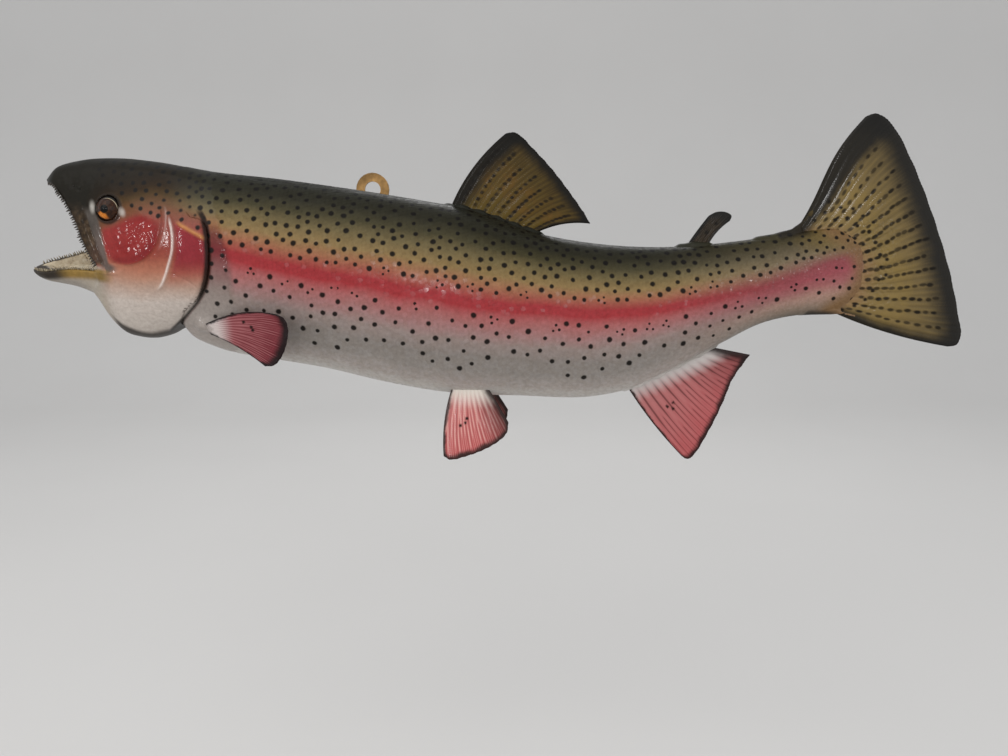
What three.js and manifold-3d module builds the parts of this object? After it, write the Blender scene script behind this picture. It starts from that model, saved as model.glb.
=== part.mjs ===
// A mounted rainbow trout, mouth open and tail swung outwards, that hangs on a wall by a brass ring.
// Millimetres. +X runs from the head to the tail, +Y into the wall, +Z up.
// The wall is the plane Y = 0. The origin is the crown of the ring's hole, where a nail bears.
import * as THREE from "three";
import { mergeVertices } from "three/addons/utils/BufferGeometryUtils.js";
import Module from "manifold-3d";

const wasm = await Module();
wasm.setup();
const { Manifold, Mesh: SolidMesh } = wasm;

// ---------- driving dimensions ----------
const NOSE_X = -216; // tip of the snout
const NOSE_ROUNDING = 16;
const SHOULDER_X = -141; // front of the trunk, inside the head
const SHOULDER_ROUNDING = 22;
const NAPE_X = -105; // where the top of the head meets the back
const TRUNK_JOINT_X = 66; // in front of the dorsal fin
const WRIST_JOINT_X = 236; // in front of the adipose fin
const TAIL_END_X = 338;
const TAIL_ROUNDING = 12;
const SEAM = 0.3; // gap between touching pieces
const SMOOTHING = 0.14; // flatter facets than this are merged
const GILL_GAP = 1.1; // gap under the rim of the gill cover
const GILL_COVER_THICKNESS = 6;
const EYE_RADIUS = 9;
const EYE = { x: -164.5, side: 20.6, z: -24.2 };
const TOOTH_LENGTH = 2.5;
const TOOTH_RADIUS = 1;
const JAW_BAND = 8; // width of the tooth-bearing band of the upper jaw
const JAW_ROLL = THREE.MathUtils.degToRad(23); // the lower jaw leans to the fish's left
const JAW_AXIS = { y: -49.5, z: -60.5 };
const RING = { x: 0, z: -6, outer: 12.4, hole: 6, thickness: 2.4 };
const STRAP = { halfWidth: 6, bottom: -90 };
const BLOCK = { x0: -30, x1: 34, z0: -98, z1: -48, depth: 15 };
const SCREW_Z = [-60, -82];
const SCREW_RADIUS = 2.1;
const SCREW_LENGTH = 9;

// A smooth line through points [x, value] given in order of x.
function line(points) {
  const count = points.length;
  const slope = points.slice(1).map((p, i) => (p[1] - points[i][1]) / (p[0] - points[i][0]));
  const tangent = points.map((p, i) => {
    if (i === 0) return slope[0];
    if (i === count - 1) return slope[count - 2];
    const before = p[0] - points[i - 1][0];
    const after = points[i + 1][0] - p[0];
    return (slope[i - 1] * after + slope[i] * before) / (before + after);
  });
  return (x) => {
    const held = THREE.MathUtils.clamp(x, points[0][0], points[count - 1][0]);
    let i = 0;
    while (i < count - 2 && held > points[i + 1][0]) i++;
    const width = points[i + 1][0] - points[i][0];
    const t = (held - points[i][0]) / width;
    const t2 = t * t;
    const t3 = t2 * t;
    return (
      (2 * t3 - 3 * t2 + 1) * points[i][1] +
      (t3 - 2 * t2 + t) * width * tangent[i] +
      (3 * t2 - 2 * t3) * points[i + 1][1] +
      (t3 - t2) * width * tangent[i + 1]
    );
  };
}

// How far the middle plane of the fish stands from the wall: the tail swings out.
const SWING = line([
  [-235, -50], [-160, -48], [-60, -43], [60, -42], [140, -43.5],
  [200, -49], [250, -59], [290, -70], [330, -83], [400, -104],
]);

// Side view of the whole fish: back, height of the greatest width, and belly.
const BACK = line([
  [-216, 1], [-207, 6.5], [-192, 10.6], [-168, 12], [-140, 9.4], [-105, 3], [-60, -2.2],
  [-10, -9.3], [40, -17.6], [70, -23.3], [130, -43], [170, -49.6], [215, -51.8],
  [260, -48.4], [300, -42.6], [325, -41], [340, -43],
]);
const TRUNK_MIDDLE = line([
  [-141, -50], [-100, -57], [0, -76], [50, -86], [110, -97], [165, -102.5],
  [210, -96.5], [250, -83.5], [290, -72], [325, -68.5], [340, -69],
]);
const TRUNK_BELLY = line([
  [-141, -98], [-125, -111], [-105, -120.8], [-70, -128.5], [-30, -136], [10, -146],
  [50, -153.7], [110, -157.6], [165, -157.8], [185, -153.5], [215, -139],
  [250, -119], [275, -105], [300, -98.6], [325, -97.6], [340, -95],
]);
const TRUNK_HALF_WIDTH = line([
  [-141, 27], [-120, 30.5], [-97, 33], [-50, 36.5], [0, 38], [60, 38], [110, 35.5],
  [160, 31], [200, 26.5], [240, 20.5], [280, 14], [310, 8.6], [328, 4.4], [340, 2.6],
]);
const HEAD_MIDDLE = line([
  [-216, -3], [-206, -15], [-190, -33], [-176, -44], [-160, -48], [-120, -53], [-85, -58],
]);
const HEAD_BELLY = line([
  [-216, -24], [-205, -50], [-192, -73], [-184, -86.5], [-177, -99], [-169, -108],
  [-159, -111.7], [-148, -112.5], [-136, -109.5], [-120, -107], [-85, -112],
]);
const HEAD_HALF_WIDTH = line([
  [-216, 11], [-205, 15.5], [-190, 20], [-175, 24], [-160, 28], [-140, 32.4],
  [-120, 35.2], [-98, 37], [-85, 37.4],
]);
const CAVITY_ROOF = line([[-226, -9], [-205, -8], [-190, -14], [-172, -27], [-150, -50]]);
const CAVITY_FLOOR = line([[-226, -60], [-190, -74], [-172, -76], [-150, -62]]);

// Outline of the lower jaw, before its roll.
const JAW_TIP_X = -232;
const JAW_REAR_X = -176.6;
const JAW_ROUNDING = 16;
const JAW_LIP = line([[-232, -60.5], [-218, -59], [-200, -56], [-176, -55.5]]);
const JAW_KEEL = line([[-232, -69], [-212, -72.5], [-198, -76.5], [-187, -83], [-176, -93]]);
const JAW_HALF_WIDTH = line([[-232, 10.5], [-215, 14.5], [-200, 18], [-176, 23]]);

// Side-view lines [x, z] that divide the head.
const GAPE = [
  [-214.2, -3.6], [-206.5, -7], [-200, -14.5], [-194.6, -23], [-190, -33], [-186, -45],
  [-181, -55.5], [-175.5, -63.5],
];
const GILL_RIM = [
  [-105, -23], [-100, -31], [-97.5, -40], [-97, -52], [-98, -64], [-101.5, -76],
  [-108, -85.5], [-116, -93], [-125, -100.5], [-136, -108],
];
const PREOPERCLE = [
  [-127, -23], [-125, -27], [-121.5, -36], [-121, -47], [-124, -59], [-129, -70], [-136, -78],
];
const JAW_HINGE = [[-175.5, -58], [-176, -72], [-187, -83], [-187, -125]];
const MEMBRANE_LINE = [[-190, -72], [-178, -74], [-158, -80], [-136, -82.5], [-118, -87], [-96, -93]];

// ---------- shaping helpers ----------
function solidOf(geometry) {
  const bare = geometry.index ? geometry.toNonIndexed() : geometry.clone();
  bare.deleteAttribute("normal");
  bare.deleteAttribute("uv");
  const merged = mergeVertices(bare, 1e-4);
  return new Manifold(
    new SolidMesh({
      numProp: 3,
      vertProperties: new Float32Array(merged.attributes.position.array),
      triVerts: new Uint32Array(merged.index.array),
    }),
  );
}

function geometryOf(solid) {
  const mesh = solid.getMesh();
  const positions = [];
  for (let i = 0; i < mesh.numVert; i++) {
    positions.push(...mesh.vertProperties.slice(i * mesh.numProp, i * mesh.numProp + 3));
  }
  const geometry = new THREE.BufferGeometry();
  geometry.setAttribute("position", new THREE.Float32BufferAttribute(positions, 3));
  geometry.setIndex([...mesh.triVerts]);
  const flat = geometry.toNonIndexed();
  flat.computeVertexNormals();
  return flat;
}

// A closed surface over a list of rings of points, with a fan over each end.
function loft(rings) {
  const around = rings[0].length;
  const vertices = rings.flat();
  const faces = [];
  for (let i = 0; i + 1 < rings.length; i++) {
    for (let j = 0; j < around; j++) {
      const a = i * around + j;
      const b = i * around + ((j + 1) % around);
      faces.push([a, b, b + around], [a, b + around, a + around]);
    }
  }
  const centre = (ring) =>
    ring.reduce((sum, p) => sum.add(p), new THREE.Vector3()).divideScalar(around);
  const front = vertices.push(centre(rings[0])) - 1;
  const rear = vertices.push(centre(rings[rings.length - 1])) - 1;
  const last = (rings.length - 1) * around;
  for (let j = 0; j < around; j++) {
    const next = (j + 1) % around;
    faces.push([front, next, j], [rear, last + j, last + next]);
  }
  const positions = faces.flat().flatMap((i) => vertices[i].toArray());
  const geometry = new THREE.BufferGeometry();
  geometry.setAttribute("position", new THREE.Float32BufferAttribute(positions, 3));
  return geometry;
}

// One ring of a body: an egg-shaped section, fuller where its power is above 2.
// A body may give another half width to the upper part of its sections.
function bodyRing(body, x, shrink, grow, around) {
  const middle = body.middle(x);
  const up = (body.back(x) - middle) * shrink + grow;
  const down = (middle - body.belly(x)) * shrink + grow;
  return Array.from({ length: around }, (_, j) => {
    const angle = (2 * Math.PI * j) / around;
    const power = Math.cos(angle) > 0 ? body.power : (body.lowerPower ?? body.power);
    const across = Math.sign(Math.sin(angle)) * Math.abs(Math.sin(angle)) ** (2 / power);
    const upward = Math.sign(Math.cos(angle)) * Math.abs(Math.cos(angle)) ** (2 / power);
    const half = (body.halfAt ? body.halfAt(x, upward) : body.half(x)) * shrink + grow;
    return new THREE.Vector3(
      x,
      SWING(x) - half * across,
      middle + (upward > 0 ? up : down) * upward,
    );
  });
}

// A whole body between two X positions, each end rounded over its own length.
function bodySolid(body, grow = 0, rings = 30, around = 28) {
  const from = body.from - grow;
  const to = body.to + grow;
  const places = [];
  for (let i = 0; i <= rings; i++) {
    const t = i / rings;
    places.push(from + (to - from) * t);
  }
  for (const [end, rounding, sign] of [[from, body.frontRounding, 1], [to, body.rearRounding, -1]]) {
    for (const part of [0.01, 0.06, 0.2, 0.45, 0.75]) {
      if (rounding) places.push(end + sign * rounding * part);
    }
  }
  places.sort((a, b) => a - b);
  const kept = places.filter((x, i) => {
    const atEnd = (body.frontRounding && x < from + 1e-6) || (body.rearRounding && x > to - 1e-6);
    return !atEnd && (i === 0 || x - places[i - 1] > 0.1);
  });
  const roundness = (distance, rounding) => {
    if (!rounding || distance >= rounding) return 1;
    return Math.sqrt(Math.max(0, 1 - ((rounding - distance) / rounding) ** 2));
  };
  return solidOf(
    loft(
      kept.map((x) => {
        const shrink =
          roundness(x - from, body.frontRounding) * roundness(to - x, body.rearRounding);
        return bodyRing(body, x, shrink, grow * shrink, around);
      }),
    ),
  );
}

// A prism whose outline [x, z] is seen from the side.
function prism(outline, y0, y1) {
  const shape = new THREE.Shape(outline.map(([x, z]) => new THREE.Vector2(x, z)));
  const geometry = new THREE.ExtrudeGeometry(shape, { depth: y1 - y0, bevelEnabled: false });
  geometry.rotateX(Math.PI / 2);
  geometry.translate(0, y1, 0);
  return solidOf(geometry);
}

function box(x0, x1, y0, y1, z0, z1) {
  return prism([[x0, z0], [x1, z0], [x1, z1], [x0, z1]], y0, y1);
}

// The points of a side-view line, each moved sideways by a distance, to its left as it runs.
function offsetLine(points, distance) {
  return points.map((p, i) => {
    const before = points[Math.max(0, i - 1)];
    const after = points[Math.min(points.length - 1, i + 1)];
    const along = new THREE.Vector2(after[0] - before[0], after[1] - before[1]).normalize();
    return [p[0] - along.y * distance, p[1] + along.x * distance];
  });
}

// ---------- head, throat and gill covers ----------
const TRUNK = {
  back: BACK,
  middle: TRUNK_MIDDLE,
  belly: TRUNK_BELLY,
  half: TRUNK_HALF_WIDTH,
  power: 2.1,
  from: SHOULDER_X,
  to: TAIL_END_X,
  frontRounding: SHOULDER_ROUNDING,
  rearRounding: TAIL_ROUNDING,
};
// The gill covers stand out from the shoulder, but the nape runs smoothly into the back.
function headHalfAt(x, upward) {
  const nape = THREE.MathUtils.smoothstep(upward, 0.3, 0.56);
  const rearward = THREE.MathUtils.smoothstep(x, -150, -108);
  return THREE.MathUtils.lerp(HEAD_HALF_WIDTH(x), TRUNK_HALF_WIDTH(x), nape * rearward);
}
const HEAD = {
  back: BACK,
  middle: HEAD_MIDDLE,
  belly: HEAD_BELLY,
  half: HEAD_HALF_WIDTH,
  halfAt: headHalfAt,
  power: 2.15,
  lowerPower: 2.5,
  from: NOSE_X,
  to: -86,
  frontRounding: NOSE_ROUNDING,
  rearRounding: 0,
};
const CAVITY = {
  back: CAVITY_ROOF,
  middle: (x) => (CAVITY_ROOF(x) + CAVITY_FLOOR(x)) / 2,
  belly: CAVITY_FLOOR,
  half: (x) => HEAD_HALF_WIDTH(x) - 4.6,
  power: 2.2,
  from: -230,
  to: -146,
  frontRounding: 0,
  rearRounding: 26,
};

const napeCut = (gap) => box(-160, NAPE_X + gap, -120, 40, -24 - gap, 40);
const fullTrunk = bodySolid(TRUNK, 0, 36, 26);
const shoulderRoom = bodySolid(TRUNK, GILL_GAP, 36, 26).subtract(napeCut(0));
const trunk = fullTrunk.subtract(napeCut(SEAM));

const rimOutline = [[-260, 60], [NAPE_X, 60], ...GILL_RIM, [-146, -125], [-260, -125]];
const mouthOutline = [...GAPE, ...JAW_HINGE.slice(1), [-260, -125], [-260, -3.6]];
const cavity = bodySolid(CAVITY, 0, 9, 16);
const wholeHead = bodySolid(HEAD, 0, 18, 26)
  .intersect(prism(rimOutline, -120, 40))
  .subtract(prism(mouthOutline, -120, 40))
  .subtract(cavity)
  .subtract(shoulderRoom);
const headCore = (inset) =>
  bodySolid({ ...HEAD, halfAt: (x, up) => headHalfAt(x, up) - inset, from: -150 }, 0, 8, 24);

const coverOutline = (gap) => [
  [-80, PREOPERCLE[0][1] + gap],
  [PREOPERCLE[0][0] - gap, PREOPERCLE[0][1] + gap],
  ...offsetLine([...PREOPERCLE.slice(1), [-130, -83.5], [-118, -87], [-96, -93]], -gap),
  [-80, -93 - gap],
];
const sideOf = { left: [-120, -52], right: [-40, 40] };
const coverRoom = (side, gap) =>
  prism(coverOutline(gap), ...sideOf[side]).subtract(headCore(GILL_COVER_THICKNESS + gap));
const gillCover = (side) => wholeHead.intersect(coverRoom(side, 0));

const throatOutline = (gap) => [
  ...offsetLine(MEMBRANE_LINE, gap),
  [-80, -93 + gap],
  [-80, -130],
  [-195, -130],
];
const jawBandOutline = (gap) => [
  ...GAPE.map(([x, z]) => [x - 4, z - 1]),
  [-174, -66.5],
  ...offsetLine(GAPE, JAW_BAND + gap).reverse(),
  [NOSE_X - 4, 2 + gap],
];

// Eyes sit in round sockets.
const eyeCentre = (side) =>
  new THREE.Vector3(EYE.x, SWING(EYE.x) + (side === "left" ? -1 : 1) * EYE.side, EYE.z);
function ball(centre, radius, columns, rows) {
  const geometry = new THREE.SphereGeometry(radius, columns, rows);
  geometry.rotateX(Math.PI / 2);
  geometry.translate(centre.x, centre.y, centre.z);
  return solidOf(geometry);
}

// A row of teeth along a line of points, each leaning the given way.
function teeth(points, count, direction) {
  const path = new THREE.CatmullRomCurve3(points, false, "centripetal");
  const cones = [];
  for (let i = 0; i < count; i++) {
    const t = (i + 0.5) / count;
    const size = 1 - 0.35 * Math.abs(2 * t - 1) + (i % 2) * 0.12;
    const geometry = new THREE.ConeGeometry(TOOTH_RADIUS * size, TOOTH_LENGTH * size + 1.2, 4);
    geometry.translate(0, (TOOTH_LENGTH * size - 1.2) / 2, 0);
    geometry.applyQuaternion(
      new THREE.Quaternion().setFromUnitVectors(new THREE.Vector3(0, 1, 0), direction),
    );
    const at = path.getPointAt(t);
    geometry.translate(at.x, at.y, at.z);
    cones.push(solidOf(geometry));
  }
  return cones;
}

// The biting edge of the upper jaw on one side, a little inside the head's outline.
const gapeHalfWidth = (x) => {
  const distance = x - NOSE_X;
  const rounding = distance < NOSE_ROUNDING ? 1 - ((NOSE_ROUNDING - distance) / NOSE_ROUNDING) ** 2 : 1;
  return HEAD_HALF_WIDTH(x) * Math.sqrt(Math.max(0, rounding)) - 2.4;
};
const gapeEdge = (sign) =>
  GAPE.slice(1).map(([x, z]) => new THREE.Vector3(x, SWING(x) + sign * gapeHalfWidth(x), z));
const gapeLoop = [...gapeEdge(-1).reverse(), ...gapeEdge(1)];
const upperTeeth = teeth(gapeLoop, 26, new THREE.Vector3(-0.8, 0, -0.6));

const skull = wholeHead
  .subtract(prism(throatOutline(SEAM), -120, 40))
  .subtract(coverRoom("left", SEAM))
  .subtract(coverRoom("right", SEAM))
  .subtract(prism(jawBandOutline(SEAM), -120, 40));
const socket = (side) => ball(eyeCentre(side), EYE_RADIUS + SEAM, 14, 9);
const head = skull.subtract(socket("left")).subtract(socket("right"));
const throat = wholeHead.intersect(prism(throatOutline(0), -120, 40));
const jawRoom = Manifold.union([
  prism([...offsetLine(JAW_HINGE, -SEAM), [-100, -125], [-100, -50]], -120, 40),
  prism(jawBandOutline(SEAM), -120, 40),
]);
const upperJaw = Manifold.union([
  wholeHead.intersect(prism(jawBandOutline(0), -120, 40)),
  ...upperTeeth,
]);

// ---------- lower jaw and tongue ----------
const LOWER_JAW = {
  back: JAW_LIP,
  middle: (x) => JAW_LIP(x) - 2,
  belly: JAW_KEEL,
  half: JAW_HALF_WIDTH,
  power: 2.1,
  from: JAW_TIP_X,
  to: JAW_REAR_X,
  frontRounding: JAW_ROUNDING,
  rearRounding: 0,
};
const JAW_TROUGH = {
  back: () => -44,
  middle: () => -52,
  belly: (x) => JAW_KEEL(x) + 6 - 0.06 * (x + 200),
  half: (x) => JAW_HALF_WIDTH(x) - 4.4,
  power: 2.1,
  from: JAW_TIP_X + 7,
  to: JAW_REAR_X + 4,
  frontRounding: JAW_ROUNDING,
  rearRounding: 0,
};
const jawLipEdge = (sign) =>
  [-222, -214, -204, -194, -184].map((x) => {
    const distance = x - JAW_TIP_X;
    const near = Math.max(0, 1 - distance / JAW_ROUNDING);
    const half = JAW_HALF_WIDTH(x) * Math.sqrt(1 - near ** 2) - 2.2;
    return new THREE.Vector3(x, SWING(x) + sign * half, JAW_LIP(x) - 0.9);
  });
const jawLoop = [
  ...jawLipEdge(-1).reverse(),
  new THREE.Vector3(-228.4, SWING(-228), JAW_LIP(-228) - 0.6),
  ...jawLipEdge(1),
];
const lowerTeeth = teeth(jawLoop, 20, new THREE.Vector3(-0.12, 0, 1).normalize());
const TONGUE = {
  back: line([[-214, -63], [-200, -61.5], [-182, -63]]),
  middle: () => -65.5,
  belly: () => -67.5,
  half: line([[-214, 7], [-200, 8], [-182, 9]]),
  power: 2,
  from: -216,
  to: -180,
  frontRounding: 10,
  rearRounding: 0,
};

function rollJaw(solid) {
  const y = JAW_AXIS.y;
  const z = JAW_AXIS.z;
  return solid
    .translate([0, -y, -z])
    .rotate([THREE.MathUtils.radToDeg(JAW_ROLL), 0, 0])
    .translate([0, y, z]);
}
const jawTrough = bodySolid(JAW_TROUGH, 0, 4, 12);
const jawBody = bodySolid(LOWER_JAW, 0, 6, 16).subtract(jawTrough);
const lowerJaw = rollJaw(Manifold.union([jawBody, ...lowerTeeth]));
const tongueRoom = rollJaw(bodySolid(TONGUE, SEAM, 4, 10));
const tongue = rollJaw(bodySolid(TONGUE, 0, 4, 10));

// ---------- fins ----------
const ACROSS = new THREE.Vector3(0, 1, 0);
const at = (x, z, side = 0) => new THREE.Vector3(x, SWING(x) + side, z);

// A fin is a fan of rays that run from its root to its outer edge.
// The bow bends the first and the last ray sideways at half their length.
// The sway curves the front rays in by the body and out near their tips.
function fin({ root, edge, bow, sway = 0, thick, facing = ACROSS, columns = 12, rows = 4 }) {
  const rootLine = new THREE.CatmullRomCurve3(root, false, "centripetal");
  const edgeLine = new THREE.CatmullRomCurve3(edge, false, "centripetal");
  const rowsOf = [];
  for (let i = 0; i <= columns; i++) {
    const u = i / columns;
    const start = rootLine.getPointAt(u);
    const end = edgeLine.getPointAt(u);
    const sideways = new THREE.Vector3().subVectors(end, start).cross(facing).normalize();
    const lift = THREE.MathUtils.lerp(bow[0], bow[1], u);
    const ray = [];
    for (let j = 0; j <= rows; j++) {
      const v = j / rows;
      const bend = lift * 4 * v * (1 - v) - sway * (1 - u) * Math.sin(2 * Math.PI * v);
      const point = start.clone().lerp(end, v).addScaledVector(sideways, bend);
      const half = THREE.MathUtils.lerp(thick[0], thick[1], Math.sqrt(v)) / 2;
      ray.push([
        point.clone().addScaledVector(facing, half),
        point.clone().addScaledVector(facing, -half),
      ]);
    }
    rowsOf.push(ray);
  }
  // Each column of the fan becomes a flat ring of points: out along one face and back along the other.
  const rings = rowsOf.map((ray) => [
    ...ray.map(([front]) => front),
    ...ray.map(([, back]) => back).reverse(),
  ]);
  const solid = solidOf(stripLoft(rings));
  if (solid.volume() > 0) return solid;
  return solidOf(stripLoft(rings.map((ring) => [...ring].reverse())));
}

// Like a loft, but each end is closed by a strip between the two halves of its ring.
function stripLoft(rings) {
  const around = rings[0].length;
  const vertices = rings.flat();
  const faces = [];
  for (let i = 0; i + 1 < rings.length; i++) {
    for (let j = 0; j < around; j++) {
      const a = i * around + j;
      const b = i * around + ((j + 1) % around);
      faces.push([a, b, b + around], [a, b + around, a + around]);
    }
  }
  const last = (rings.length - 1) * around;
  for (let j = 0; j + 1 < around / 2; j++) {
    const k = around - 1 - j;
    faces.push([j, k, k - 1], [j, k - 1, j + 1]);
    faces.push([last + j, last + k - 1, last + k], [last + j, last + j + 1, last + k - 1]);
  }
  const positions = faces.flat().flatMap((i) => vertices[i].toArray());
  const geometry = new THREE.BufferGeometry();
  geometry.setAttribute("position", new THREE.Float32BufferAttribute(positions, 3));
  return geometry;
}

const DORSAL = {
  root: [at(60, -26), at(80, -33), at(101, -41), at(119, -47)],
  edge: [
    at(101, 27.6), at(106, 28.2), at(111, 26), at(118, 19), at(133, 3), at(147, -15),
    at(157, -29.5), at(160, -35),
  ],
  bow: [4.5, 3],
  thick: [3.4, 1.1],
};
const ADIPOSE = {
  root: [at(223, -56), at(231, -57), at(238, -56)],
  edge: [at(240, -31), at(245, -28.6), at(251, -29), at(254.5, -31.5), at(253.5, -35)],
  bow: [0.5, 2.2],
  thick: [4.4, 2.4],
  columns: 8,
};
const CAUDAL = {
  root: [at(290, -50), at(318, -51), at(330, -69), at(324, -87), at(311, -92.5)],
  edge: [
    at(331.5, 29), at(336.5, 30.6), at(341.5, 28), at(348, 20.5), at(358, 0.5), at(371, -31.5),
    at(384, -70), at(391.3, -101), at(392.9, -111), at(391, -117), at(386, -118.3),
  ],
  bow: [2, -3.2],
  sway: 2,
  thick: [4, 1.2],
  columns: 22,
  rows: 5,
};
const ANAL = {
  root: [at(184, -146), at(204, -136), at(226, -124), at(247, -112)],
  edge: [
    at(226.8, -202), at(230, -204), at(234, -202), at(245, -181.5), at(254, -160),
    at(259.5, -144.5), at(270, -126.8),
  ],
  bow: [-2, 0],
  thick: [3.4, 1.1],
};

// The paired fins. A sign of -1 is the fish's left, which faces away from the wall.
const pelvic = (sign, splay) => ({
  root: [at(64, -141, sign * 11), at(72, -142, sign * 12), at(82, -143, sign * 12)],
  edge: [
    at(54.5, -197.5, sign * splay), at(59.5, -200, sign * splay), at(70, -197.8, sign * splay),
    at(82, -193.3, sign * (splay + 1)), at(93, -187, sign * (splay + 2)),
    at(99.6, -180.5, sign * (splay + 2)), at(101, -173, sign * (splay + 1)),
  ],
  bow: [-3.5, 0.5],
  thick: [4, 1.1],
  facing: new THREE.Vector3(0.08, 1, 0.22 * sign).normalize(),
});
const pectoral = (sign, splay) => ({
  root: [at(-104, -101, sign * 27), at(-103, -105, sign * 26), at(-102, -109, sign * 24)],
  edge: [
    at(-49, -94, sign * splay), at(-44.5, -97, sign * (splay + 1)),
    at(-42.3, -104, sign * (splay + 1)), at(-44.5, -115, sign * (splay + 1)),
    at(-49, -123, sign * splay), at(-54, -127.7, sign * (splay - 1)),
    at(-60, -128.4, sign * (splay - 3)),
  ],
  bow: [4.5, 1.5],
  thick: [4, 1.2],
  facing: new THREE.Vector3(splay > 40 ? 0.4 : 0.1, 1, 0.1 * sign).normalize(),
});

const bodyRoom = bodySolid(TRUNK, SEAM, 36, 26);
const finSolid = (fan) => fin(fan).subtract(bodyRoom).subtract(wholeHead);

// ---------- hanging ring, strap and block ----------
function disc(x, z, radius, y0, y1, sides) {
  const geometry = new THREE.CylinderGeometry(radius, radius, y1 - y0, sides);
  geometry.translate(x, (y0 + y1) / 2, z);
  return solidOf(geometry);
}
const strapBody = box(-STRAP.halfWidth, STRAP.halfWidth, -RING.thickness, 0, STRAP.bottom, RING.z - 4);
const strapHoles = Manifold.union(
  SCREW_Z.map((z) => disc(0, z, SCREW_RADIUS + SEAM, -20, 5, 14)),
);
const hanger = Manifold.union([
  strapBody,
  disc(RING.x, RING.z, RING.outer, -RING.thickness, 0, 24),
  disc(0, STRAP.bottom, STRAP.halfWidth, -RING.thickness, 0, 16),
])
  .subtract(disc(RING.x, RING.z, RING.hole, -10, 10, 20))
  .subtract(strapHoles);
const groove = box(
  -STRAP.halfWidth - SEAM, STRAP.halfWidth + SEAM, -RING.thickness - SEAM, 5, STRAP.bottom - 8, 10,
);
const block = box(BLOCK.x0, BLOCK.x1, -BLOCK.depth, 0, BLOCK.z0, BLOCK.z1)
  .subtract(groove)
  .subtract(strapHoles);
const blockRoom = box(
  BLOCK.x0 - SEAM, BLOCK.x1 + SEAM, -BLOCK.depth - SEAM, 5, BLOCK.z0 - SEAM, BLOCK.z1 + SEAM,
);
const hangerRoom = box(-STRAP.halfWidth - 1, STRAP.halfWidth + 1, -RING.thickness - 1, 5, -110, 10);
const screw = (z) =>
  disc(0, z, SCREW_RADIUS, -SCREW_LENGTH, -SEAM, 16).subtract(
    box(-3, 3, -1.1, 1, z - 0.4, z + 0.4),
  );

// ---------- assembly ----------
const fishBody = trunk.subtract(blockRoom).subtract(hangerRoom);
const between = (x0, x1) => fishBody.intersect(box(x0, x1, -200, 60, -260, 80));
const leftEye = ball(eyeCentre("left"), EYE_RADIUS, 14, 9);
const rightEye = ball(eyeCentre("right"), EYE_RADIUS, 14, 9);

const COLOURS = {
  flesh: "#7d7a4c",
  cheek: "#b8444a",
  jaw: "#3b382c",
  pale: "#d9d2c4",
  fin: "#6a5a2c",
  pink: "#c26a66",
  eye: "#2a1408",
  brass: "#b08d57",
  wood: "#a07a4e",
};

const group = new THREE.Group();
group.name = "mounted_trout";
function add(name, solid, colour, roughness = 0.4, metalness = 0) {
  const material = new THREE.MeshStandardMaterial({ color: colour, roughness, metalness });
  const mesh = new THREE.Mesh(geometryOf(solid.simplify(SMOOTHING)), material);
  mesh.name = name;
  group.add(mesh);
}

add("head", head, COLOURS.flesh);
add("upper_jaw", upperJaw, COLOURS.jaw);
add("lower_jaw", lowerJaw.subtract(tongueRoom).subtract(jawRoom), COLOURS.pale);
add("tongue", tongue, COLOURS.pale);
add("throat", throat, COLOURS.pale);
add("gill_cover_left", gillCover("left"), COLOURS.cheek);
add("gill_cover_right", gillCover("right"), COLOURS.cheek);
add("eye_left", leftEye, COLOURS.eye, 0.1);
add("eye_right", rightEye, COLOURS.eye, 0.1);
add("trunk_front", between(-200, TRUNK_JOINT_X - SEAM / 2), COLOURS.flesh);
add("trunk_rear", between(TRUNK_JOINT_X + SEAM / 2, WRIST_JOINT_X - SEAM / 2), COLOURS.flesh);
add("tail_wrist", between(WRIST_JOINT_X + SEAM / 2, 400), COLOURS.flesh);
add("dorsal_fin", finSolid(DORSAL), COLOURS.fin);
add("adipose_fin", finSolid(ADIPOSE), COLOURS.jaw);
add("caudal_fin", finSolid(CAUDAL), COLOURS.fin);
add("anal_fin", finSolid(ANAL), COLOURS.pink);
add("pelvic_fin_left", finSolid(pelvic(-1, 24)), COLOURS.pink);
add("pelvic_fin_right", finSolid(pelvic(1, 21)), COLOURS.pink);
add("pectoral_fin_left", finSolid(pectoral(-1, 51)), COLOURS.pink);
add("pectoral_fin_right", finSolid(pectoral(1, 36)), COLOURS.pink);
add("hanger_ring", hanger, COLOURS.brass, 0.35, 1);
add("mount_block", block, COLOURS.wood, 0.7);
add("screw_upper", screw(SCREW_Z[0]), COLOURS.brass, 0.35, 1);
add("screw_lower", screw(SCREW_Z[1]), COLOURS.brass, 0.35, 1);

export default group;
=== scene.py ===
import math

import bpy
import numpy as np
from mathutils import Matrix, Vector


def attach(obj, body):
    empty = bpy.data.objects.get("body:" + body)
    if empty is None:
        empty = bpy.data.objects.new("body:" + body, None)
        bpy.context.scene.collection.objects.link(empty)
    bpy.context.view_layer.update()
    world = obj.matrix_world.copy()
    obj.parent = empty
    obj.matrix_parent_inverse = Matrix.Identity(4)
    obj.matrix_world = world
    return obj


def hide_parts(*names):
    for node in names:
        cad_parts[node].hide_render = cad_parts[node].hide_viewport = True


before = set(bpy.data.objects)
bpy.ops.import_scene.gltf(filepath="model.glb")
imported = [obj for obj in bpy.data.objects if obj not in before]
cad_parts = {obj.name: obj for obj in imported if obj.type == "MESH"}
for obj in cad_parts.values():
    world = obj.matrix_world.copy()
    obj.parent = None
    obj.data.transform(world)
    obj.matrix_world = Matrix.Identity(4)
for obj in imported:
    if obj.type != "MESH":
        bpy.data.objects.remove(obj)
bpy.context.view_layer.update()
SEED = 7

# Shapes are worked out in millimetres, in the frame of the part, and made in metres.
MM = 0.001


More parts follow.
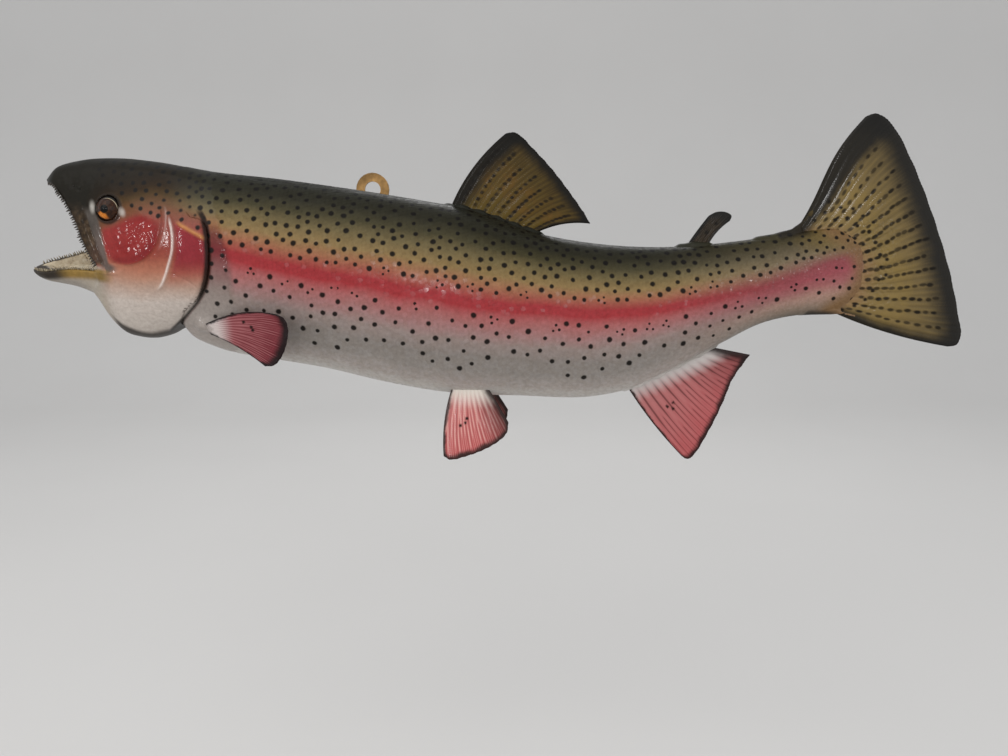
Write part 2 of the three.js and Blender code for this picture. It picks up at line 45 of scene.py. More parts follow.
# ---------- camera ----------
CAMERA_PLACE = (0.098, -0.577, -0.0638)
CAMERA_PITCH, CAMERA_ROLL = math.radians(8.629), math.radians(0.517)
CAMERA_LENS, SENSOR_WIDTH = 26.43, 36.0


def make_camera():
    """A camera on the left of the fish, tipped down and rolled a little."""
    forward = Vector((0, math.cos(CAMERA_PITCH), -math.sin(CAMERA_PITCH)))
    down = Vector((0, -math.sin(CAMERA_PITCH), -math.cos(CAMERA_PITCH)))
    right = math.cos(CAMERA_ROLL) * Vector((1, 0, 0)) + math.sin(CAMERA_ROLL) * down
    up = right.cross(forward)
    data = bpy.data.cameras.new("camera")
    data.lens, data.sensor_width = CAMERA_LENS, SENSOR_WIDTH
    camera = bpy.data.objects.new("camera", data)
    bpy.context.scene.collection.objects.link(camera)
    turn = Matrix((right, up, -forward)).transposed().to_4x4()
    camera.matrix_world = Matrix.Translation(CAMERA_PLACE) @ turn
    bpy.context.scene.camera = camera


make_camera()


# ---------- small tools ----------
def ease(x, a, b):
    """Rises smoothly from 0 at a to 1 at b; where b is the lower one, it falls."""
    t = np.clip((x - a) / (b - a), 0, 1)
    return t * t * (3 - 2 * t)


def window(x, a, b, c, d):
    """Rises from 0 at a to 1 at b, and falls again from c to d."""
    return ease(x, a, b) * ease(x, d, c)


def lerp(a, b, t):
    return a + (b - a) * t


def unit(v):
    return v / np.linalg.norm(v, axis=-1, keepdims=True)


def bell(x, width):
    """1 at 0, falling to about a third at the width on either side."""
    return np.exp(-((x / width) ** 2))


def smin(a, b, k):
    """The lesser of two fields, blended where they are within k of each other."""
    h = np.clip(0.5 + 0.5 * (b - a) / k, 0, 1)
    return b + (a - b) * h - k * h * (1 - h)


def smax(a, b, k):
    return -smin(-a, -b, k)


def hermite(t, a, b, slope_a, slope_b):
    """The cubic from a to b, for t from 0 to 1, with these slopes at its ends."""
    t2, t3 = t * t, t * t * t
    return (
        (2 * t3 - 3 * t2 + 1) * a + (t3 - 2 * t2 + t) * slope_a
        + (3 * t2 - 2 * t3) * b + (t3 - t2) * slope_b
    )


def line(points):
    """A smooth line through points (x, value), the same as the CAD's."""
    xs, vs = np.array(points, float).T
    steps = np.diff(xs)
    slope = np.diff(vs) / steps
    tangent = np.empty(len(xs))
    tangent[0], tangent[-1] = slope[0], slope[-1]
    tangent[1:-1] = (slope[:-1] * steps[1:] + slope[1:] * steps[:-1]) / (steps[:-1] + steps[1:])

    def at(x):
        x = np.clip(x, xs[0], xs[-1])
        i = np.clip(np.searchsorted(xs, x, side="right") - 1, 0, len(xs) - 2)
        width = xs[i + 1] - xs[i]
        t = (x - xs[i]) / width
        return hermite(t, vs[i], vs[i + 1], width * tangent[i], width * tangent[i + 1])

    return at


def curve_points(points, count):
    """Evenly spaced points on a centripetal Catmull-Rom curve, as the CAD draws it."""
    p = np.array(points, float)
    ends = np.vstack([2 * p[0] - p[1], p, 2 * p[-1] - p[-2]])
    knots = np.maximum(np.sum(np.diff(ends, axis=0) ** 2, axis=1) ** 0.25, 1e-6)
    t = np.linspace(0, 1, 40, endpoint=False)[:, None]
    out = []
    for i in range(len(p) - 1):
        p0, p1, p2, p3 = ends[i : i + 4]
        d0, d1, d2 = knots[i : i + 3]
        t1 = ((p1 - p0) / d0 - (p2 - p0) / (d0 + d1) + (p2 - p1) / d1) * d1
        t2 = ((p2 - p1) / d1 - (p3 - p1) / (d1 + d2) + (p3 - p2) / d2) * d1
        out.append(hermite(t, p1, p2, t1, t2))
    fine = np.vstack(out + [p[-1:]])
    arc = np.concatenate([[0], np.cumsum(np.linalg.norm(np.diff(fine, axis=0), axis=1))])
    at = np.linspace(0, arc[-1], count)
    return np.stack([np.interp(at, arc, fine[:, k]) for k in range(p.shape[1])], 1)


def path_distance(path, x, z):
    """Distance to a side-view line, above 0 on its left as it runs, and how far along, 0 to 1."""
    x, z = np.broadcast_arrays(x, z)
    shape = x.shape
    x, z = x.ravel().astype(np.float64), z.ravel().astype(np.float64)
    best = np.full(x.shape, 1e9)
    side = np.ones(x.shape)
    along = np.zeros(x.shape)
    steps = np.linalg.norm(np.diff(path, axis=0), axis=1)
    arc = np.concatenate([[0], np.cumsum(steps)])
    for i in range(len(path) - 1):
        ax, az = path[i]
        dx, dz = path[i + 1] - path[i]
        t = np.clip(((x - ax) * dx + (z - az) * dz) / (steps[i] ** 2), 0, 1)
        ex, ez = x - ax - t * dx, z - az - t * dz
        d = ex * ex + ez * ez
        closer = d < best
        best = np.where(closer, d, best)
        turn = dx * (z - az) - dz * (x - ax)
        side = np.where(closer, np.where(turn >= 0, 1.0, -1.0), side)
        along = np.where(closer, (arc[i] + t * steps[i]) / arc[-1], along)
    return (np.sqrt(best) * side).reshape(shape), along.reshape(shape)


def polygon_field(outline, x, z):
    """Distance to a closed side-view outline, below 0 inside it."""
    closed = np.vstack([outline, outline[:1]])
    d = np.abs(path_distance(closed, x, z)[0])
    inside = np.zeros(d.shape, bool)
    for (ax, az), (bx, bz) in zip(closed[:-1], closed[1:]):
        if az != bz:
            inside ^= ((az > z) != (bz > z)) & (x < ax + (z - az) * (bx - ax) / (bz - az))
    return np.where(inside, -d, d)


def mesh_object(name, points, faces):
    """A smooth object from points in millimetres and a list of arrays of faces."""
    faces = [np.asarray(f, np.int32) for f in faces]
    me = bpy.data.meshes.new(name)
    me.vertices.add(len(points))
    me.vertices.foreach_set("co", (np.asarray(points, np.float64) * MM).ravel())
    corners = np.concatenate([f.ravel() for f in faces])
    sizes = np.concatenate([np.full(len(f), f.shape[1]) for f in faces])
    me.loops.add(len(corners))
    me.loops.foreach_set("vertex_index", corners)
    me.polygons.add(len(sizes))
    me.polygons.foreach_set("loop_start", np.concatenate([[0], np.cumsum(sizes)[:-1]]))
    me.update(calc_edges=True)
    me.validate()
    me.shade_smooth()
    ob = bpy.data.objects.new(name, me)
    bpy.context.scene.collection.objects.link(ob)
    return ob


def give(ob, name, *values):
    """A per-point attribute of one number, or of three."""
    data = np.stack(values, 1).astype(np.float32).ravel()
    if len(values) == 1:
        ob.data.attributes.new(name, "FLOAT", "POINT").data.foreach_set("value", data)
    else:
        ob.data.attributes.new(name, "FLOAT_VECTOR", "POINT").data.foreach_set("vector", data)


# ---------- the fish's lines ----------
CHIN = line([(-172, 10.5), (-160, 7.5), (-150, 5.5), (-138, 4.2), (-120, 4.5)])
SWING = line([
    (-235, -50), (-160, -48), (-60, -43), (60, -42), (140, -43.5),
    (200, -49), (250, -59), (290, -70), (330, -83), (400, -104),
])
BACK = line([
    (-216, 1), (-207, 6.5), (-192, 10.6), (-168, 12), (-140, 9.4), (-105, 3), (-60, -2.2),
    (-10, -9.3), (40, -17.6), (70, -23.3), (130, -43), (170, -49.6), (215, -51.8),
    (260, -48.4), (300, -42.6), (325, -41), (340, -43),
])
TRUNK_MIDDLE = line([
    (-141, -50), (-100, -57), (0, -76), (50, -86), (110, -97), (165, -102.5),
    (210, -96.5), (250, -83.5), (290, -72), (325, -68.5), (340, -69),
])
TRUNK_BELLY = line([
    (-141, -98), (-125, -111), (-105, -120.8), (-70, -128.5), (-30, -136), (10, -146),
    (50, -153.7), (110, -157.6), (165, -157.8), (185, -153.5), (215, -139),
    (250, -119), (275, -105), (300, -98.6), (325, -97.6), (340, -95),
])
TRUNK_HALF = line([
    (-141, 27), (-120, 30.5), (-97, 33), (-50, 36.5), (0, 38), (60, 38), (110, 35.5),
    (160, 31), (200, 26.5), (240, 20.5), (280, 14), (310, 8.6), (328, 4.4), (340, 2.6),
])
HEAD_MIDDLE = line([
    (-216, -3), (-206, -15), (-190, -33), (-176, -44), (-160, -48), (-120, -53), (-85, -58),
])
HEAD_BELLY = line([
    (-216, -24), (-205, -50), (-192, -73), (-184, -86.5), (-177, -99), (-169, -108),
    (-159, -111.7), (-148, -112.5), (-136, -109.5), (-120, -107), (-85, -112),
])
HEAD_HALF = line([
    (-216, 11), (-205, 15.5), (-190, 20), (-175, 24), (-160, 28), (-140, 32.4),
    (-120, 35.2), (-98, 37), (-85, 37.4),
])
CAVITY_ROOF = line([(-226, -9), (-205, -8), (-190, -14), (-172, -27), (-150, -50)])
CAVITY_FLOOR = line([(-226, -60), (-190, -74), (-172, -76), (-150, -62)])
JAW_LIP = line([(-232, -60.5), (-218, -59), (-200, -56), (-176, -55.5), (-160, -56)])
JAW_KEEL = line([(-232, -69), (-212, -72.5), (-198, -76.5), (-187, -83), (-176, -93), (-160, -100)])
JAW_HALF = line([(-232, 10.5), (-215, 14.5), (-200, 18), (-176, 23), (-160, 26)])
STRIPE = line([
    (-105, -50), (-70, -58.6), (-30, -67.6), (10, -74.7), (50, -82.8), (90, -90.4), (130, -93.7),
    (170, -96.4), (210, -92.8), (230, -88.4), (250, -84.1), (270, -79.9), (290, -73.2),
    (310, -64.8), (340, -55),
])

GAPE = curve_points([
    (-214.2, -3.6), (-206.5, -7), (-200, -14.5), (-194.6, -23), (-190, -33), (-186, -45),
    (-181, -55.5), (-175.5, -63.5),
], 40)
GILL_RIM = curve_points([
    (-105, -23), (-100, -31), (-97.5, -40), (-97, -52), (-98, -64), (-101.5, -76),
    (-108, -85.5), (-116, -93), (-125, -100.5), (-136, -108),
], 40)
PREOPERCLE = curve_points([
    (-125, -24), (-122.3, -30), (-120.4, -37), (-119.8, -45), (-120.8, -53), (-123.6, -61),
    (-127, -69), (-131.5, -76), (-139, -80.5),
], 30)
CHEEK = curve_points([
    (-136, -20), (-130, -24), (-127.8, -30), (-128.2, -38), (-131, -46), (-136, -53),
    (-143, -58), (-152, -60.5), (-161, -60),
], 30)
MAXILLA = curve_points([(-184, -22), (-181.5, -30), (-178, -41), (-174.5, -52), (-171, -61)], 20)
SKIN_FOLD = curve_points([(-178, -24), (-176, -31), (-172.5, -42), (-169, -53), (-166, -64)], 20)
SUTURE = curve_points([(-126, -66), (-118, -69), (-110, -74), (-104, -80)], 16)
SHOULDER = curve_points([
    (-101, 3), (-96, -16), (-92, -32), (-90.5, -42), (-88, -49), (-86, -58), (-85, -72),
    (-87, -95), (-93, -125),
], 40)
TAIL_ARC = curve_points([
    (310, -34), (322, -43), (331, -50.2), (336, -59), (338, -69), (336, -79), (331, -87.5), (318, -98),
], 30)
# The lower jaw is rolled about the line along x at JAW_Y, JAW_Z.
JAW_ROLL, JAW_Y, JAW_Z = math.radians(23), -49.5, -60.5
EYE_X, EYE_SIDE, EYE_Z, EYE_RADIUS = -164.5, 20.6, -24.2, 9.0
COAT = 0.5  # how far the skin lies under the trunk's outline, for the scales
TRUNK_POWER, HEAD_POWERS = 2.1, (2.15, 2.5)
TRUNK_START, TRUNK_END, TRUNK_ROUND = -141, 338, 25
HEAD_START, HEAD_END, HEAD_ROUND = -216, -84, 10.5
JAW_START, JAW_END, JAW_ROUND, JAW_POWER = -232, -160, 16, 2.1
# The pocket behind the fish for its wooden block: middle, half size and depth.
POCKET_X, POCKET_Z, POCKET_WIDE, POCKET_TALL, POCKET_Y = 2, -73, 32.5, 25.5, -15.5


def body_field(x, y, z, back, middle, belly, half, power, lower, x0, x1, round0, round1):
    """Roughly the distance from a lofted body, below 0 inside.

    Its sections are superellipses of one power above the middle line and another below it,
    and its two ends are rounded over round0 and round1, or cut flat."""
    mid = middle(x)
    above = z > mid
    reach = np.where(above, back(x) - mid, mid - belly(x))
    v = np.abs(z - mid) / reach
    p = np.where(above, power, lower)
    wide = half(x, np.where(above, np.minimum(v, 1), 0.0)) if half is head_half else half(x)
    h = np.abs(y - SWING(x)) / wide
    r = np.maximum(v**p + h**p, 1e-12) ** (1 / p)
    gz = np.maximum(v / np.maximum(r, 1e-6), 1e-6) ** (p - 1) / reach
    gy = np.maximum(h / np.maximum(r, 1e-6), 1e-6) ** (p - 1) / wide
    shrink, ends = np.ones_like(x), ((x - x0, round0), (x1 - x, round1))
    for d, rounding in ends:
        if rounding:
            t = (rounding - d) / rounding
            rounded = np.where(d > 0, np.sqrt(np.maximum(0, 1 - t * t)), d / rounding)
            shrink = shrink * np.where(d >= rounding, 1, rounded)
    f = (r - shrink) / np.sqrt(gz * gz + gy * gy)
    for d, rounding in ends:
        if not rounding:
            f = np.maximum(f, -d)
    return f


def trunk_field(x, y, z):
    return body_field(
        x, y, z, BACK, TRUNK_MIDDLE, TRUNK_BELLY, TRUNK_HALF,
        TRUNK_POWER, TRUNK_POWER, TRUNK_START, TRUNK_END, 22, TRUNK_ROUND,
    )


def head_half(x, upward):
    """Half width of the head, which takes the trunk's towards the nape."""
    share = ease(upward, 0.3, 0.56) * ease(x, -150, -108)
    return lerp(HEAD_HALF(x), TRUNK_HALF(x), share)


def lumps(x, z, size):
    """Uneven swellings, from -1 to 1, of roughly the given size."""
    u, w = x / size, z / size
    first = np.sin(2.3 * u + 1.7 * np.sin(1.1 * w)) * np.sin(2.0 * w + 1.6 * np.sin(1.3 * u + 0.8))
    second = np.sin(4.3 * u - 2.9 * w + 1.4 * np.sin(2.1 * w)) * np.sin(3.7 * w + 2.6 * u)
    return 0.65 * first + 0.35 * second


def relief(x, z):
    """How far the bones and folds of the side of the head stand out."""
    out = 0.0 * (x + z)
    # The preopercle ends in a rounded bead, and the gill cover lies lower behind it.
    d, t = path_distance(PREOPERCLE, x, z)
    fade = window(t, 0.0, 0.15, 0.85, 1.0)
    rise = np.where(d < 0, np.exp(d / 6.0), bell(d, 1.8))
    out = out + (0.8 * bell(d, 1.15) + 0.5 * rise - 0.35 * bell(d - 3.4, 1.6)) * fade
    # The cheek, a low swelling with a sharp lower and rear edge.
    d, t = path_distance(CHEEK, x, z)
    fade = window(t, 0.0, 0.2, 0.8, 1.0)
    rise = np.where(d < 0, np.exp(d / 9.0), bell(d, 0.9))
    out = out + (0.95 * rise + 0.35 * bell(d, 0.9)) * fade
    plate = ellipse(x, z, -148, -45, 18, 14, 0, 0.4)
    out = out + 0.3 * plate * lumps(x, z, 4.6) + 0.1 * plate * lumps(x, z, 1.7)
    out = out + 0.26 * ellipse(x, z, -147, -43, 11, 9, 0, 0.5) * lumps(x, z, 2.3)
    # Upper jaw bone with a groove behind it, and the fold of skin after the groove.
    d, t = path_distance(MAXILLA, x, z)
    fade = window(t, 0.0, 0.12, 0.93, 1.0)
    out = out - 0.7 * bell(d - 0.4, 1.1) * fade + 0.7 * bell(d + 3.2, 2.4) * fade
    bone = fade * bell(d + 4.5, 4.0)
    out = out + 0.3 * bell(d + 7.5, 1.6) * fade + 0.14 * bone * lumps(x, z, 1.5)
    d, t = path_distance(SKIN_FOLD, x, z)
    fade = window(t, 0.0, 0.2, 0.85, 1.0)
    out = out - 0.4 * bell(d - 3.0, 1.2) * fade + 0.35 * bell(d, 2.0) * fade
    d, t = path_distance(SUTURE, x, z)
    out = out - 0.5 * bell(d, 0.8) * window(t, 0.0, 0.2, 0.8, 1.0)
    # The thin margin of the gill cover, and the glossy crease above the opercle.
    d, t = path_distance(GILL_RIM, x, z)
    out = out - 0.55 * ease(-d, 3.4, 2.2) * ease(t, 0.04, 0.15)
    out = out + 0.3 * bell(d + 3.6, 0.9) * window(t, 0.04, 0.15, 0.6, 0.8)
    out = out + 0.5 * bell(z - crease(x), 1.3) * window(x, -118, -114, -101, -99)
    # Striae of the gill cover fan out from its upper front corner.
    dx, dz = x + 119, z + 33
    reach = np.hypot(dx, dz)
    turn = np.arctan2(dz, dx)
    plate = ease(reach, 4, 12) * ease(x, -100, -103) * ease(x, -121, -117)
    out = out + 0.07 * np.sin(turn * 46 + 3 * np.sin(reach * 0.2)) * plate * (z > -80)
    # Fine creases of the throat's skin, over its rays.
    below = ease(-z, 66, 80) * window(x, -178, -168, -112, -100)
    sweep = z + 0.011 * (x + 150) ** 2 + 1.2 * lumps(x, z, 7)
    out = out - 0.28 * np.maximum(0, np.sin(sweep * 1.25)) ** 8 * below
    out = out + 0.14 * lumps(x, z, 6.5) * below
    # Wet, wrinkled corner of the mouth.
    corner = ellipse(x, z, -168, -66, 9, 6, -0.3, 0.5)
    out = out - 0.35 * corner * np.maximum(0, np.sin(1.9 * (z - 0.35 * x))) ** 4
    # Bumps of the skull and snout, and the nostrils: a pair of pits ahead of the eye.
    crown = ease(z, -22, -8) + ease(x, -176, -182)
    away = ease(np.hypot(x - EYE_X, z - EYE_Z), 11, 17)
    out = out + 0.12 * np.minimum(crown, 1) * lumps(x, z, 4.5) * away
    for nx, nz, width in ((-186.1, -10.6, 1.1), (-190.5, -8.4, 1.0)):
        out = out - 1.1 * np.exp(-(((x - nx) / width) ** 2 + ((z - nz) / 0.9) ** 2))
    return out


def crease(x):
    """Height of the glossy crease over the opercle."""
    return -34.6 - 0.56 * (x + 116)


MOUTH_OUTLINE = np.vstack([
    GAPE, [(-176, -72), (-187, -83), (-187, -125), (-262, -125), (-262, -3.6)],
])
RIM_OUTLINE = np.vstack([[(-280, 60), (-105, 60)], GILL_RIM, [(-146, -125), (-280, -125)]])


def jaw_parts(x, y, z):
    """Fields of the lower jaw's body and of the trough in it, and the height in the jaw."""
    c, s = math.cos(JAW_ROLL), math.sin(JAW_ROLL)
    yy = JAW_Y + (y - JAW_Y) * c + (z - JAW_Z) * s
    zz = JAW_Z - (y - JAW_Y) * s + (z - JAW_Z) * c
    body = body_field(
        x, yy, zz, JAW_LIP, lambda q: JAW_LIP(q) - 2, JAW_KEEL, JAW_HALF,
        JAW_POWER, JAW_POWER, JAW_START, JAW_END, JAW_ROUND, 8,
    )
    trough = body_field(
        x, yy, zz, lambda q: -44 + 0 * q, lambda q: -52 + 0 * q,
        lambda q: JAW_KEEL(q) + 6 - 0.06 * (q + 200), lambda q: JAW_HALF(q) - 4.4,
        JAW_POWER, JAW_POWER, -225, -166, JAW_ROUND, 0,
    )
    return body, trough, zz


def cavity_field(x, y, z):
    """The hollow of the mouth."""
    return body_field(
        x, y, z, CAVITY_ROOF, lambda q: (CAVITY_ROOF(q) + CAVITY_FLOOR(q)) / 2, CAVITY_FLOOR,
        lambda q: HEAD_HALF(q) - 4.6, 2.2, 2.2, -230, -146, 0, 26,
    )


def eye_distance(x, y, z):
    """Distance from the middle of the nearer eye."""
    y = np.abs(y - SWING(EYE_X)) - EYE_SIDE
    return np.sqrt((x - EYE_X) ** 2 + y**2 + (z - EYE_Z) ** 2)


def capsule(x, y, z, a, b, r0, r1):
    """Distance from a rod that runs from a to b and is r0 thick at a, r1 at b."""
    a, b = np.array(a, float), np.array(b, float)
    ab = b - a
    t = np.clip(((x - a[0]) * ab[0] + (y - a[1]) * ab[1] + (z - a[2]) * ab[2]) / ab.dot(ab), 0, 1)
    ex, ey, ez = x - a[0] - t * ab[0], y - a[1] - t * ab[1], z - a[2] - t * ab[2]
    return np.sqrt(ex * ex + ey * ey + ez * ez) - lerp(r0, r1, t)


def on_mid(x, z, side=0.0):
    """A point beside the middle plane of the fish, which swings from side to side."""
    return (x, float(SWING(x)) + side, z)


# Fleshy bases that the fins grow from: (first point, last point, radii, blending).
BASES = []


def ridge(xs, height, radius, blend):
    """A low fleshy ridge along the middle of the back or belly."""
    for x0, x1 in zip(xs[:-1], xs[1:]):
        ends = (on_mid(x, float(height(x))) for x in (x0, x1))
        BASES.append((*ends, radius, radius, blend))


ridge((60, 70, 82, 94, 106, 117, 124), lambda q: BACK(q) - 0.6, 1.5, 5)
ridge((222, 231, 239), lambda q: BACK(q) - 0.4, 1.6, 6)
ridge((186, 196, 208, 222, 236, 246), lambda q: TRUNK_BELLY(q) + 0.8, 1.7, 5)
# Flesh that sweeps out along the upper and lower edges of the tail fin.
for x0, z0, x1, z1, r0, r1, blend in (
    (272, -48.5, 286, -46.6, 1.6, 1.7, 6), (286, -46.6, 296, -41.0, 1.7, 1.4, 5),
    (296, -41.0, 303, -31.5, 1.4, 1.1, 3.5), (303, -31.5, 308, -22, 1.1, 0.9, 2),
    (300, -96.6, 318, -95.4, 1.4, 1.4, 4), (318, -95.4, 332, -99, 1.4, 1.0, 3),
):
    BASES.append((on_mid(x0, z0), on_mid(x1, z1), r0, r1, blend))
for sign in (-1, 1):
    BASES.append((on_mid(-108, -101.5, 22.5 * sign), on_mid(-99, -104.5, 26.5 * sign), 4.2, 2.4, 7))
    BASES.append((on_mid(66, -142, 11 * sign), on_mid(82, -142.5, 12 * sign), 4.4, 3.6, 7))


def skin_field(x, y, z):
    """The whole skin, from the lips to the end of the tail's flesh."""
    lo, hi = float(x.min()), float(x.max())
    far = 0.0 * (x + y + z) + 50.0
    trunk = trunk_field(x, y, z) if hi > -150 else far
    f = trunk + COAT * ease(x, -100, -88)
    if lo < -78 and hi > -100:
        # Rough, wet skin where the scales begin behind the gill.
        edge, _ = path_distance(SHOULDER, x, z)
        rough = bell(edge + 1.0, 3.6) * window(z, -86, -72, -40, -32)
        f = f - 0.45 * rough * lumps(x, z, 1.9)
    if lo < HEAD_END:
        rim_poly = polygon_field(RIM_OUTLINE, x, z)
        head = body_field(
            x, y, z, BACK, HEAD_MIDDLE, HEAD_BELLY, head_half, *HEAD_POWERS,
            HEAD_START, HEAD_END, HEAD_ROUND, 0,
        )
        mid = SWING(x)
        flat = ease(np.abs(y - mid) / HEAD_HALF(x), 0.45, 0.8)
        nape = ease(z, -26, -14) * ease(x, -125, -100)
        head = head + 0.15 + (0.75 - relief(x, z)) * flat * (1 - nape)
        # The rounded edge of the gill cover.
        head = smax(head, rim_poly, 2.4)
        head = smax(head, -polygon_field(MOUTH_OUTLINE, x, z), 1.6)
        head = smax(head, -cavity_field(x, y, z), 1.2)
        gap = lerp(-2.0, 1.2, ease(-z, 21, 27) * ease(-rim_poly, 10, 7))
        head = smax(head, -(trunk - gap), 0.4)
        eye = eye_distance(x, y, z)
        lid = np.hypot(eye - EYE_RADIUS - 0.5, head) - 0.9
        head = smin(head, lid, 1.0)
        head = smax(head, EYE_RADIUS + 0.15 - eye, 0.5)
        if lo < JAW_END:
            body, trough, _ = jaw_parts(x, y, z)
            jaw = smax(body + 0.15, -trough, 1.6)
            head = smin(head, jaw, 5.0)
            head = smax(head, EYE_RADIUS + 0.15 - eye, 0.5)
        f = np.where(x < HEAD_END, smin(f, head, 0.8), f)
    for a, b, r0, r1, k in BASES:
        if lo < max(a[0], b[0]) + 14 and hi > min(a[0], b[0]) - 14:
            f = smin(f, capsule(x, y, z, a, b, r0, r1), k)
    if lo < 38 and hi > -34:
        block = np.maximum(np.abs(x - POCKET_X) - POCKET_WIDE, np.abs(z - POCKET_Z) - POCKET_TALL)
        f = smax(f, -np.maximum(block, POCKET_Y - y), 0.4)
    return f


def surface_nets(field, xs, ys, zs):
    """A quad mesh of the field's zero surface on a grid with uneven steps."""
    grid = np.empty((len(xs), len(ys), len(zs)), np.float32)
    for i in range(0, len(xs), 16):
        part = xs[i : i + 16]
        grid[i : i + 16] = field(part[:, None, None], ys[None, :, None], zs[None, None, :])
    inside = grid < 0
    corners = [(i, j, k) for i in (0, 1) for j in (0, 1) for k in (0, 1)]
    nx, ny, nz = (n - 1 for n in grid.shape)
    total = np.zeros((nx, ny, nz), np.int8)
    for i, j, k in corners:
        total += inside[i : i + nx, j : j + ny, k : k + nz]
    cells = np.argwhere((total > 0) & (total < 8))
    number = np.full(total.shape, -1, np.int32)
    number[tuple(cells.T)] = np.arange(len(cells))
    # Each cell's point is the mean of where the surface cuts its edges.
    acc, count = np.zeros((len(cells), 3)), np.zeros(len(cells))
    for a in corners:
        for axis in range(3):
            if a[axis]:
                continue
            b = list(a)
            b[axis] = 1
            fa, fb = grid[tuple((cells + a).T)], grid[tuple((cells + b).T)]
            m = (fa < 0) != (fb < 0)
            at = np.repeat(np.array([a], float), m.sum(), 0)
            at[:, axis] += fa[m] / (fa[m] - fb[m])
            acc[m] += at
            count[m] += 1
    place = (cells + acc / count[:, None]).T
    points = np.stack([np.interp(at, np.arange(len(g)), g) for at, g in zip(place, (xs, ys, zs))], 1)
    quads = []
    for axis in range(3):
        lo, hi = [slice(1, -1)] * 3, [slice(1, -1)] * 3
        lo[axis], hi[axis] = slice(0, -1), slice(1, None)
        first = inside[tuple(lo)]
        at = np.argwhere(first != inside[tuple(hi)])
        starts_in = first[tuple(at.T)]
        at = at + 1
        at[:, axis] -= 1
        du, dw = np.roll(np.eye(3, dtype=int), -axis - 1, 0)[:2]
        ring = [at - du - dw, at - dw, at, at - du]
        quad = np.stack([number[tuple(r.T)] for r in ring], 1)
        quad[~starts_in] = quad[~starts_in][:, ::-1]
        quads.append(quad)
    return points, np.vstack(quads)


def settle(points, field, rounds=3, step=0.25):
    """Moves points on to the field's zero surface."""
    for i in range(0, len(points), 40000):
        p = points[i : i + 40000]
        for _ in range(rounds):
            f = field(*p.T)
            g = [field(*(p + step * e).T) - field(*(p - step * e).T) for e in np.eye(3)]
            g = np.stack(g, 1) / (2 * step)
            size = np.maximum(np.linalg.norm(g, axis=1), 0.3)
            p -= g / size[:, None] * np.clip(f / size, -0.5, 0.5)[:, None]


# ---------- markings ----------
rng = np.random.default_rng(SEED)


def ring_arc(x, rows):
    """Points round the left half of the trunk at x, from the belly to the back, evenly spaced,
    and the length of the way round."""
    angle = np.linspace(math.pi, 0, 400)
    c, s = np.cos(angle), np.sin(angle)
    past = max(0.0, (x - TRUNK_END + TRUNK_ROUND) / TRUNK_ROUND)
    shrink = math.sqrt(max(0.0, 1 - past * past))
    mid = TRUNK_MIDDLE(x)
    up = np.sign(c) * np.abs(c) ** (2 / TRUNK_POWER)
    y = np.abs(s) ** (2 / TRUNK_POWER) * TRUNK_HALF(x) * shrink
    z = mid + np.where(up > 0, BACK(x) - mid, mid - TRUNK_BELLY(x)) * up * shrink
    arc = np.concatenate([[0], np.cumsum(np.hypot(np.diff(y), np.diff(z)))])
    at = np.clip(rows, 0, 1) * arc[-1]
    return np.interp(at, arc, y), np.interp(at, arc, z), arc[-1]


RING_START, RING_STEP, RING_ROWS = -106, 4, 80
RING_TABLE = [
    np.stack(ring_arc(x, np.linspace(0, 1, RING_ROWS + 1))[:2], 1)
    for x in np.arange(RING_START, TRUNK_END + 1, float(RING_STEP))
]


def ring_point(x, row):
    """The same for one row, from a table."""
    i = min(int((x - RING_START) / RING_STEP), len(RING_TABLE) - 2)
    t = (x - RING_START - i * RING_STEP) / RING_STEP
    j = min(int(row * RING_ROWS), RING_ROWS - 1)
    s = row * RING_ROWS - j
    a, b = RING_TABLE[i], RING_TABLE[i + 1]
    p = (a[j] * (1 - s) + a[j + 1] * s) * (1 - t) + (b[j] * (1 - s) + b[j + 1] * s) * t
    return float(p[0]), float(p[1])


FULL_DEPTH = 130  # of the trunk at its deepest
FLANK_TRIES, CROWN_TRIES, SHOULDER_TRIES = 30000, 6000, 300
HEAD_SPOT_FLOOR = line([(-176, 2), (-165, -9), (-152, -21), (-140, -27), (-125, -31), (-99, -34)])


